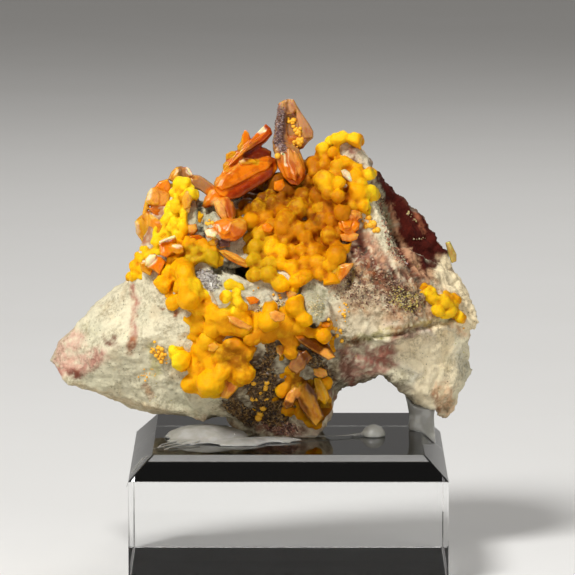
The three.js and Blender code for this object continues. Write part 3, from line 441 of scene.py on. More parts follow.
# Where the balls turn lemon, olive or amber, where they are paler as painted light on lit fronts and highlights, and
# where amber and cognac lay painted shade in the hollow: colour, strength, reach, softness, line.
BALL_TINTS = [
    ("lit_yellow", 1, 2.4, 1.3, [(-17.3, 60.5), (-17.9, 55.7), (-20.2, 50.4), (-22.7, 46.0)]),
    ("lit_yellow", 0.6, 3.2, 1.4, [(-18.6, 44.1), (-14.8, 39.9), (-13.6, 34.3), (-13.2, 27.7)]),
    ("lit_yellow", 1, 1.3, 1.0, [(-17.9, 33.5), (-16.3, 31.6)]),
    ("lit_yellow", 0.55, 1.6, 1.3, [(-9.3, 38.3), (-3.7, 38.0), (3.1, 38.6)]),
    # The hero ball: painted shade round it in amber, and a painted highlight on it.
    ("amber", 0.6, 2.8, 1.2, [(5.6, 60.5), (7.6, 59.9), (7.0, 58.3)]),
    ("lit_yellow", 1, 1.3, 0.5, [(5.6, 60.5), (7.6, 59.9), (7.0, 58.3)]),
    ("lit_yellow", 0.7, 1.3, 0.8, [(-2.3, 49.6), (-2.0, 47.7)]),
    ("lit_yellow", 0.6, 1.3, 1.0, [(9.0, 67.3), (11.4, 60.9), (12.1, 56.8)]),
    ("lit_yellow", 0.7, 1.0, 0.8, [(-1.0, 44.8), (-0.7, 42.5)]),
    ("lemon", 0.85, 1.3, 1.1, [(-17.6, 56.8), (-18.6, 53.5), (-20.8, 50.2), (-21.8, 47.7)]),
    ("lemon", 0.9, 1.1, 1.0, [(-18.3, 59.9), (-15.7, 60.9), (-14.1, 58.9)]),
    ("lemon", 0.7, 0.8, 0.6, [(-14.8, 44.1), (-13.5, 43.1)]),
    ("lemon", 0.9, 1.1, 0.8, [(-9.3, 43.5), (-7.7, 42.8), (-9.0, 41.1)]),
    ("lemon", 0.8, 0.8, 0.8, [(4.7, 66.0), (7.1, 67.6), (9.8, 67.8)]),
    ("lemon", 0.6, 1.4, 1.0, [(22.6, 41.7), (24.2, 40.4), (26.1, 39.0)]),
    ("lemon", 0.7, 0.6, 0.8, [(13.0, 61.5), (13.5, 56.8), (14.0, 53.1), (15.1, 51.8)]),
    ("lemon", 0.2, 1.0, 1.0, [(-10.6, 28.0), (-12.2, 26.1)]),
    ("olive", 0.75, 1.9, 1.6, [(-6.8, 50.7), (-4.2, 48.9)]),
    ("olive", 0.9, 1.1, 0.8, [(-15.1, 49.1), (-11.9, 48.1)]),
    ("olive", 0.6, 1.3, 1.0, [(-6.1, 45.7), (-2.6, 45.1)]),
    ("olive", 0.5, 1.3, 1.3, [(4.7, 57.6), (1.8, 54.1)]),
    ("olive", 0.7, 1.0, 1.0, [(-4.2, 27.7), (-3.3, 27.4)]),
    # Painted shade in amber under the fan, the spire and the hero ball.
    ("amber", 0.9, 1.6, 1.4, [(-4.9, 60.2), (-1.3, 58.9), (2.5, 58.9)]),
    ("amber", 0.9, 1.3, 1.0, [(2.8, 66.0), (3.8, 62.1)]),
    ("amber", 0.75, 2.4, 1.8, [(6.3, 56.0), (7.0, 54.1)]),
    ("amber", 0.7, 2.0, 1.6, [(-0.7, 54.1), (1.2, 52.8)]),
    ("amber", 0.95, 2.0, 1.4, [(-4.2, 60.2), (-2.0, 59.9), (0.2, 59.2)]),
    ("amber", 0.8, 1.4, 1.2, [(5.4, 51.2), (7.9, 51.2)]),
    ("amber", 0.6, 1.3, 1.3, [(-4.2, 35.4), (1.8, 34.8)]),
    ("amber", 0.5, 1.6, 1.3, [(-9.6, 36.7), (-8.4, 33.2)]),
    ("cognac", 0.95, 1.9, 1.1, [(2.5, 28.3), (4.7, 24.1)]),
    ("cognac", 0.6, 1.0, 1.0, [(-10.0, 33.2), (-7.7, 31.9)]),
    # More painted shade under the fan and the hero ball, in amber and cognac.
    ("amber", 0.9, 2.2, 1.6, [(-4.9, 58.3), (-1.7, 59.9), (1.8, 59.2)]),
    ("cognac", 0.7, 1.6, 1.4, [(-5.2, 57.8), (-1.3, 59.4), (2.2, 58.6)]),
    ("amber", 0.6, 1.6, 1.2, [(2.8, 56.7), (6.6, 55.4), (9.0, 56.8)]),
    ("lit_yellow", 0.8, 0.9, 0.6, [(-2.6, 50.2), (-2.3, 49.3)]),
    ("lit_yellow", 0.8, 1.0, 0.6, [(-0.4, 46.4), (0.6, 43.1)]),
    ("lemon", 0.9, 2.0, 1.0, [(-22.1, 35.9), (-20.0, 33.5), (-19.5, 29.9)]),
    ("moss", 0.95, 1.6, 0.8, [(0.4, 71.0), (1.3, 69.6), (1.6, 66.2)]),
    # Painted shade in cognac under the fan and the hero ball.
    ("cognac", 0.75, 1.6, 1.0, [(-4.9, 58.9), (-2.6, 60.6), (0.2, 61.4)]),
    ("cognac", 0.7, 0.5, 0.5, [(2.8, 55.4), (4.4, 54.1)]),
]
BALL_COLOURS = {
    "gold": (0.70, 0.29, 0.001),
    # Painted light: a paler yellow for balls on lit fronts and for highlights.
    "lit_yellow": (0.95, 0.48, 0.002),
    "lemon": (0.96, 0.68, 0.014),
    "olive": (0.54, 0.34, 0.006),
    # Amber and cognac: deeper ball colours, also laid as painted shade in the hollow.
    "amber": (0.50, 0.165, 0.001),
    "cognac": (0.22, 0.065, 0.001),
    "moss": (0.40, 0.28, 0.010),
}
# What tints the balls in their finish: ripe balls, pale ones, painted shade in the creases, and dust.
RIPE = (0.78, 0.60, 0.5)
PALE = (0.92, 0.56, 0.01)
CREASE_SHADE = (0.66, 0.40, 0.25)
DUST = (0.86, 0.55, 0.03)

# Crystals as plates: the depth of the front face, thickness, how it falls back across and up, and outline.
CRYSTALS = {
    "wulfenite_fan": [
        (-2.4, 3.8, (0.1, 0.4), [(-11.6, 59.2), (-11.7, 60.5), (-10.8, 61.5), (-9.5, 62.5), (-8.2, 63.3),
         (-7.6, 64.0), (-6.5, 64.2), (-5.2, 63.9), (-4.2, 64.4), (-3.3, 64.6), (-2.0, 64.2),
         (-1.8, 62.6), (-2.6, 61.3), (-4.2, 60.2), (-6.1, 59.1), (-7.7, 58.0), (-9.5, 57.6),
         (-10.9, 58.3)]),
        (-3.1, 1.6, (0.1, 0.35), [(-11.5, 59.7), (-10.7, 61.2), (-9.3, 62.2), (-7.9, 63.1), (-6.1, 63.6),
         (-4.2, 63.8), (-2.5, 63.6), (-3.3, 62.5), (-5.2, 61.7), (-7.3, 60.5), (-9.0, 59.6),
         (-10.6, 59.1)]),
        (-2.6, 1.4, (0.1, 0.25), [(-7.9, 63.8), (-6.8, 64.3), (-5.5, 64.1), (-4.9, 63.5), (-6.1, 63.3),
         (-7.6, 63.1)]),
        (0.4, 3.0, (0.12, 0.3), [(-11.1, 61.0), (-10.1, 62.8), (-9.2, 64.1), (-7.7, 65.5), (-6.1, 67.1),
         (-5.2, 68.2), (-4.2, 69.2), (-3.6, 69.8), (-2.9, 69.2), (-2.6, 68.3), (-3.6, 67.0),
         (-5.0, 65.8), (-6.8, 64.9), (-8.1, 63.9), (-9.3, 62.8), (-10.4, 61.3)]),
        (-0.1, 1.2, (0.12, 0.3), [(-9.5, 63.1), (-8.1, 64.7), (-6.5, 66.2), (-4.5, 67.8), (-3.3, 69.1),
         (-2.8, 68.3), (-3.9, 67.1), (-6.1, 65.7), (-8.1, 64.2), (-9.2, 63.1)]),
        (0.4, 2.8, (0.1, 0.2), [(-7.7, 64.1), (-6.5, 65.5), (-4.9, 66.2), (-3.6, 65.9), (-2.8, 65.4),
         (-2.8, 64.2), (-4.5, 63.4), (-7.1, 63.1)]),
        (0.8, 3.0, (0.1, 0.2), [(-10.9, 60.5), (-9.3, 62.5), (-7.1, 64.6), (-5.2, 65.8), (-3.6, 65.7),
         (-3.3, 63.4), (-6.1, 61.8), (-9.3, 59.9)]),
        (1.0, 1.6, (0, 0.1), [(-8.1, 65.5), (-8.2, 66.3), (-7.6, 67.0), (-7.4, 68.1), (-6.9, 69.0),
         (-6.3, 68.4), (-6.0, 67.3), (-6.5, 66.3), (-7.4, 65.2)]),
        (0.8, 1.5, (0.1, 0), [(-10.0, 65.0), (-9.2, 65.5), (-7.9, 65.6), (-8.1, 64.6), (-9.2, 63.4),
         (-9.8, 63.4), (-10.0, 64.2)]),
        (0.6, 1.3, (0.1, 0), [(-10.4, 63.3), (-9.6, 64.1), (-8.7, 64.4), (-9.3, 63.0), (-10.1, 62.3),
         (-10.4, 62.6)]),
        (-3.6, 2.8, (0, 0.2), [(-13.7, 56.4), (-13.2, 58.0), (-12.4, 59.1), (-11.2, 59.6), (-10.0, 59.1),
         (-10.0, 57.8), (-11.1, 56.8), (-12.4, 56.6), (-13.2, 56.3)]),
        (-2.0, 1.4, (0, 0.2), [(-11.9, 60.2), (-11.5, 61.2), (-10.8, 61.4), (-10.8, 59.9),
         (-11.6, 59.6)]),
    ],
    "wulfenite_pendants": [
        (-5.6, 2.8, (0.1, 0.2), [(-11.9, 57.2), (-11.1, 57.9), (-9.6, 58.0), (-8.8, 56.8), (-8.6, 55.2),
         (-9.1, 53.8), (-10.3, 53.8), (-11.2, 54.9)]),
        (-6.4, 1.5, (0.2, 0.35), [(-11.6, 57.0), (-10.8, 57.3), (-10.0, 56.2), (-9.6, 54.4),
         (-10.4, 54.2), (-11.2, 55.5)]),
        (-4.6, 1.8, (0.3, 0.1), [(-9.6, 57.8), (-8.8, 57.2), (-8.4, 55.7), (-8.5, 54.6), (-9.2, 55.1)]),
    ],
    "wulfenite_middle": [
        (-9.6, 3.6, (0.1, 0.45), [(-12.2, 53.5), (-11.4, 54.2), (-10.0, 54.6), (-8.7, 54.4),
         (-7.7, 54.6), (-6.7, 54.1), (-6.6, 52.8), (-7.3, 51.7), (-8.4, 51.0), (-9.5, 50.9),
         (-10.6, 51.3), (-11.4, 52.3)]),
        (-10.1, 1.6, (-0.3, 0.5), [(-11.9, 53.4), (-11.1, 54.0), (-9.8, 54.3), (-8.8, 53.9),
         (-9.2, 52.5), (-10.1, 51.8), (-11.1, 52.4)]),
        (-10.0, 1.8, (0.4, 0.3), [(-9.2, 53.9), (-8.1, 54.3), (-6.9, 53.8), (-6.9, 52.6), (-7.6, 51.7),
         (-8.7, 51.5), (-9.3, 52.6)]),
        (-10.4, 1.6, (-0.2, 0.4), [(-13.2, 52.5), (-12.5, 53.1), (-11.7, 53.0), (-11.1, 52.2),
         (-11.6, 51.5), (-12.8, 51.5)]),
        (-10.0, 1.6, (0, 0.2), [(-12.8, 51.3), (-11.9, 51.8), (-11.0, 51.2), (-11.4, 50.0),
         (-12.4, 50.2)]),
        (-9.2, 1.8, (0, 0), [(-11.4, 51.0), (-10.4, 51.5), (-9.2, 51.0), (-9.2, 50.0), (-10.8, 49.8)]),
        (-10.0, 1.6, (0.1, 0.3), [(-11.1, 49.4), (-10.0, 49.6), (-8.2, 48.9), (-6.8, 48.0), (-5.9, 47.1),
         (-6.6, 46.6), (-8.1, 47.2), (-9.6, 48.0)]),
        (-10.5, 0.9, (0.1, 0.2), [(-10.4, 49.2), (-9.0, 49.0), (-7.3, 48.0), (-6.6, 47.3),
         (-8.4, 47.8)]),
    ],
    "wulfenite_left": [
        (-3.4, 3.2, (0.1, 0.2), [(-21.1, 59.7), (-20.5, 60.5), (-19.2, 60.9), (-18.7, 59.9),
         (-18.7, 58.6), (-19.9, 58.0), (-20.9, 58.8)]),
        (-4.4, 3.4, (0.1, 0.2), [(-22.3, 58.8), (-21.8, 59.4), (-21.0, 59.7), (-19.9, 59.1),
         (-18.7, 58.7), (-18.9, 57.2), (-19.9, 56.2), (-21.3, 56.3), (-22.3, 56.9), (-22.6, 57.8)]),
        (-4.9, 1.2, (0.2, 0.2), [(-22.1, 58.8), (-21.1, 59.2), (-20.3, 58.3), (-20.5, 56.8),
         (-21.6, 56.7), (-22.3, 57.6)]),
        (-4.0, 1.6, (0.2, 0), [(-22.7, 57.6), (-22.2, 58.8), (-21.9, 57.6), (-22.3, 56.0), (-22.7, 54.9),
         (-23.2, 55.4)]),
        (-4.8, 3.2, (0.1, 0.3), [(-22.3, 56.2), (-21.0, 56.6), (-19.4, 56.8), (-19.1, 55.5),
         (-19.9, 54.6), (-21.3, 55.2)]),
        (-4.8, 3.6, (-0.1, 0.3), [(-24.4, 54.1), (-23.7, 54.8), (-22.7, 55.6), (-21.6, 55.8),
         (-20.5, 54.8), (-19.7, 53.8), (-20.0, 52.5), (-21.0, 51.4), (-21.9, 50.2), (-22.7, 50.1),
         (-23.4, 51.2), (-24.1, 52.2)]),
        (-5.5, 1.6, (-0.3, 0.2), [(-22.1, 55.5), (-20.8, 54.7), (-19.8, 53.6), (-20.3, 52.2),
         (-21.5, 51.0), (-22.1, 52.5), (-22.3, 54.1)]),
        (-5.2, 1.4, (0.3, 0.1), [(-24.2, 54.1), (-23.2, 54.7), (-22.4, 53.8), (-22.3, 51.8),
         (-22.6, 50.3), (-23.4, 51.4), (-24.0, 52.6)]),
        (-5.0, 2.4, (0.1, 0.2), [(-23.4, 50.1), (-22.6, 50.6), (-21.5, 50.7), (-21.3, 49.4),
         (-22.4, 48.9), (-23.4, 49.1)]),
    ],
    "wulfenite_peak": [
        (-1.6, 3.0, (0.1, 0.3), [(-19.1, 60.9), (-18.6, 62.0), (-17.9, 62.8), (-17.0, 63.0),
         (-16.5, 62.6), (-16.3, 61.5), (-17.1, 60.7), (-18.3, 60.5)]),
        (-1.9, 2.6, (-0.1, 0.3), [(-17.1, 62.7), (-16.2, 62.9), (-15.3, 61.6), (-15.9, 60.9),
         (-16.7, 61.0)]),
        (-2.4, 1.0, (0.1, 0.2), [(-16.3, 62.7), (-15.8, 62.8), (-15.1, 61.6), (-15.5, 61.3)]),
        (-1.9, 2.6, (0.1, 0.3), [(-16.1, 60.2), (-15.8, 61.3), (-15.2, 61.6), (-14.2, 61.5),
         (-13.3, 61.0), (-12.4, 60.3), (-11.4, 59.5), (-11.9, 58.8), (-13.0, 58.4), (-14.0, 59.2),
         (-15.1, 59.6)]),
    ],
    "wulfenite_spire": [
        (1.6, 2.0, (0.1, 0.1), [(-1.5, 73.1), (-0.8, 73.6), (-0.1, 73.8), (0.8, 73.7), (1.3, 72.8),
         (2.3, 71.2), (3.2, 69.9), (3.9, 68.6), (3.9, 67.7), (3.1, 67.0), (2.3, 66.0), (1.0, 65.5),
         (-0.1, 66.0), (-0.4, 70.8)]),
        (0.6, 3.0, (0.1, 0.0), [(-1.5, 73.2), (-0.7, 73.6), (-0.1, 72.4), (-0.4, 70.2), (-0.1, 67.9),
         (0.6, 66.7), (-0.4, 64.7), (-2.0, 64.6), (-2.4, 65.7), (-2.5, 67.0), (-2.1, 68.7),
         (-1.9, 70.7)]),
        (0.8, 1.6, (0.1, 0.1), [(-0.7, 73.5), (-0.0, 73.8), (0.8, 73.7), (1.4, 72.4), (0.7, 71.5),
         (-0.2, 71.3)]),
        (0.9, 1.2, (0.2, 0.1), [(1.2, 72.5), (2.3, 71.2), (3.9, 68.6), (3.8, 67.6), (2.6, 67.5),
         (1.8, 69.2), (1.3, 70.8)]),
        (0.8, 1.4, (0.1, 0.1), [(-0.2, 67.5), (1.2, 67.7), (2.8, 67.3), (2.3, 66.2), (0.9, 65.8),
         (-0.1, 66.2)]),
        (-3.0, 5.4, (0.15, 0.25), [(-2.2, 65.5), (-1.5, 66.5), (-0.4, 66.8), (0.7, 66.4), (1.7, 65.6),
         (2.3, 64.1), (2.7, 62.3), (2.5, 60.9), (1.5, 59.9), (0.4, 60.1), (-0.7, 61.2), (-1.6, 62.8)]),
        (-3.6, 1.8, (0.2, 0.25), [(-1.4, 65.7), (-0.9, 65.8), (-0.3, 64.4), (0.2, 62.5), (0.4, 60.8),
         (-0.3, 61.2), (-1.1, 63.3)]),
        (-3.8, 1.8, (0.1, 0.25), [(-0.4, 65.8), (0.3, 65.8), (1.0, 64.1), (1.4, 62.1), (1.3, 60.4),
         (0.5, 60.9), (-0.1, 63.4)]),
        (-3.5, 1.8, (0.3, 0.25), [(0.8, 65.5), (1.5, 65.0), (2.2, 63.4), (2.5, 61.8), (2.1, 60.9),
         (1.5, 61.8), (1.1, 63.8)]),
    ],
    "wulfenite_tablet_1": [
        (-9.9, 2.2, (0.1, 0.6), [(-20.4, 50.6), (-19.2, 51.1), (-17.8, 51.5), (-17.6, 50.4),
         (-18.4, 49.1), (-19.2, 48.4), (-20.2, 48.8)]),
        (-10.3, 1.0, (0.1, 0.3), [(-20.4, 50.9), (-19.2, 51.5), (-17.9, 51.9), (-17.8, 51.5),
         (-19.2, 51.0), (-20.3, 50.5)]),
        (-10.1, 1.6, (0.1, 0.2), [(-18.7, 50.1), (-17.8, 50.6), (-16.6, 50.2), (-16.5, 49.2),
         (-17.5, 48.8), (-18.3, 49.2)]),
    ],
    "wulfenite_tablet_2": [
        (-9.6, 2.2, (0.1, 0.3), [(-22.3, 47.6), (-21.3, 48.5), (-20.2, 48.4), (-19.4, 47.7),
         (-19.8, 46.7), (-20.4, 45.6), (-21.3, 46.4), (-22.3, 46.7)]),
        (-9.9, 1.2, (0.1, 0.2), [(-22.6, 48.0), (-21.9, 48.8), (-20.8, 48.8), (-21.0, 48.1),
         (-21.9, 47.2), (-22.6, 46.9)]),
        (-9.0, 1.8, (0.1, 0.2), [(-23.5, 47.5), (-22.6, 47.6), (-21.5, 46.4), (-21.8, 45.4),
         (-23.2, 46.2)]),
    ],
    "wulfenite_tablet_3": [
        (-9.4, 2.4, (0.1, 0.4), [(7.8, 53.9), (8.4, 54.6), (9.5, 54.7), (10.6, 54.5), (11.3, 53.8),
         (11.1, 52.8), (10.1, 52.2), (8.9, 52.2), (8.0, 52.8)]),
        (-10.0, 1.4, (0.2, 0.7), [(8.2, 54.3), (9.3, 54.6), (10.1, 54.1), (9.8, 53.1), (8.7, 52.8)]),
        (-9.6, 2.0, (-0.2, 0.4), [(9.7, 54.1), (10.6, 54.3), (11.2, 53.5), (10.5, 52.5), (9.5, 52.8)]),
        (-9.4, 1.8, (0.1, 0.3), [(9.0, 55.1), (9.5, 55.8), (10.5, 55.9), (11.4, 55.5), (11.5, 54.7),
         (10.8, 54.2), (9.7, 54.3)]),
        (-9.8, 1.4, (0.1, 0.5), [(9.8, 55.4), (10.6, 55.7), (11.1, 55.2), (10.5, 54.6)]),
        (-9.7, 1.8, (0.1, 0.2), [(8.1, 52.0), (9.0, 52.2), (10.3, 52.4), (11.1, 52.0), (10.8, 51.2),
         (9.7, 50.8), (8.5, 51.0)]),
    ],
    "wulfenite_tablet_4": [
        (-11.9, 1.2, (0.1, 0.1), [(7.3, 49.2), (7.9, 49.4), (9.1, 49.0), (8.9, 48.0), (8.0, 48.4)]),
        (-12.3, 1.8, (0.1, 0.2), [(7.9, 47.1), (9.0, 47.4), (10.3, 47.4), (9.3, 45.7), (8.1, 44.4),
         (7.5, 45.7)]),
        (-12.0, 1.5, (0, 0.1), [(6.6, 47.7), (7.8, 47.7), (8.0, 46.0), (7.3, 45.2), (6.4, 46.4)]),
    ],
    "wulfenite_tablet_5": [
        (-14.4, 1.8, (0.1, 0.5), [(0.4, 36.5), (1.8, 36.9), (4.2, 35.7), (6.3, 34.4), (7.4, 32.5),
         (6.3, 32.1), (4.1, 33.3), (1.8, 34.8)]),
        (-14.3, 2.0, (0, 0.2), [(0.0, 30.9), (0.6, 32.5), (1.4, 33.6), (2.5, 33.4), (3.0, 31.9),
         (2.5, 30.7), (1.4, 29.9), (0.4, 30.3)]),
        (-14.1, 1.4, (0, 0.1), [(1.8, 33.2), (2.8, 33.6), (3.8, 32.4), (3.0, 31.4)]),
    ],
    "wulfenite_tablet_6": [
        (-11.9, 2.8, (-0.2, 0), [(-10.6, 25.9), (-10.7, 27.2), (-10.0, 28.7), (-9.2, 30.2), (-7.9, 29.5),
         (-7.6, 28.2), (-8.4, 27.0), (-9.6, 25.8)]),
        (-11.2, 1.5, (0, 0.3), [(-7.9, 30.9), (-7.1, 31.2), (-6.1, 30.8), (-6.2, 30.1), (-7.4, 29.7),
         (-8.0, 30.2)]),
        (-11.6, 1.4, (0.1, 0.1), [(-8.9, 33.0), (-8.2, 33.9), (-7.3, 34.4), (-6.8, 34.0), (-7.6, 33.2),
         (-8.5, 32.4)]),
    ],
    "wulfenite_tablet_7": [
        (3.6, 1.7, (0.2, 0), [(25.2, 50.8), (25.8, 51.0), (26.3, 50.1), (26.9, 48.9), (26.9, 47.8),
         (26.2, 47.5), (25.7, 48.9)]),
    ],
    "wulfenite_tablet_8": [
        (-10.8, 1.8, (0.1, 0.2), [(-0.9, 24.9), (-0.2, 26.6), (0.9, 27.8), (1.6, 27.6), (1.3, 25.9),
         (0.6, 24.4), (-0.4, 24.2)]),
        (-10.6, 2.2, (0.1, 0.2), [(1.5, 28.0), (2.8, 28.8), (4.1, 27.4), (4.8, 25.1), (5.5, 22.9),
         (4.4, 21.3), (3.1, 22.8), (1.8, 24.6), (1.1, 26.4)]),
        (-10.2, 1.6, (0.1, 0.1), [(3.9, 29.1), (5.0, 29.1), (5.9, 27.7), (6.6, 25.8), (5.8, 24.7),
         (4.7, 25.8)]),
    ],
}
# Small crystals that stand on whatever is there: colour, how far out, thickness and outline.
LOOSE_CRYSTALS = [
    # A small pale crystal, painted cream all over as its highlight.
    ("cream", 0.5, 1.2, [(8.3, 62.2), (8.9, 62.4), (9.7, 61.9), (10.4, 60.5), (9.7, 60.3), (8.6, 61.3)]),
    ("peach", 0.5, 1.1, [(-9.6, 39.0), (-8.4, 38.9), (-7.1, 38.1), (-5.7, 37.3), (-6.1, 36.8),
     (-7.7, 37.2), (-9.2, 38.1)]),
    ("peach", 0.6, 1.2, [(-3.0, 39.6), (-2.0, 39.9), (-0.5, 39.3), (-0.7, 38.3), (-2.0, 38.1),
     (-2.8, 38.6)]),
    ("peach", 0.5, 1.1, [(-0.4, 42.8), (0.4, 43.2), (1.4, 42.6), (0.9, 41.6), (-0.1, 41.7)]),
    ("orange", 0.5, 1.2, [(-6.8, 42.0), (-5.5, 42.2), (-4.5, 41.6), (-4.9, 41.0), (-6.1, 40.8)]),
    ("peach", 0.6, 1.3, [(3.9, 30.6), (4.9, 30.9), (6.0, 30.4), (6.2, 29.5), (5.0, 29.1), (4.1, 29.6)]),
    ("orange", 0.5, 1.0, [(4.7, 37.9), (5.7, 38.2), (6.8, 37.8), (6.3, 37.1), (5.2, 37.2)]),
    ("orange", 0.6, 1.2, [(-4.2, 53.5), (-3.3, 53.9), (-2.3, 53.1), (-2.9, 52.3), (-3.9, 52.5)]),
    ("honey", 0.4, 1.2, [(-16.3, 58.9), (-15.4, 59.2), (-15.2, 57.8), (-15.7, 56.3), (-16.5, 56.0),
     (-16.8, 57.6)]),
    ("orange", 0.5, 1.2, [(-15.7, 53.5), (-14.6, 53.7), (-14.3, 52.6), (-15.1, 51.8), (-15.9, 52.3)]),
    ("peach", 0.5, 1.2, [(-2.0, 34.3), (-0.9, 34.6), (-0.2, 33.4), (-1.2, 32.5), (-1.9, 33.3)]),
    ("honey", 0.5, 1.2, [(-12.7, 34.5), (-11.6, 34.9), (-10.8, 34.1), (-11.7, 33.3), (-12.6, 33.5)]),
    ("peach", 0.5, 1.3, [(-16.7, 57.2), (-15.9, 57.4), (-15.4, 56.5), (-15.7, 55.4), (-16.3, 55.5)]),
    ("peach", 0.5, 1.3, [(-15.9, 53.4), (-14.9, 53.6), (-14.3, 52.9), (-14.9, 52.2), (-15.7, 52.3)]),
    ("amber", 0.6, 1.4, [(-15.7, 51.8), (-14.1, 52.0), (-13.0, 51.2), (-13.6, 50.2), (-15.1, 50.6)]),
    ("orange", 0.5, 1.2, [(-2.3, 60.5), (-0.9, 60.9), (-0.4, 59.7), (-1.3, 58.8), (-2.3, 59.2)]),
]
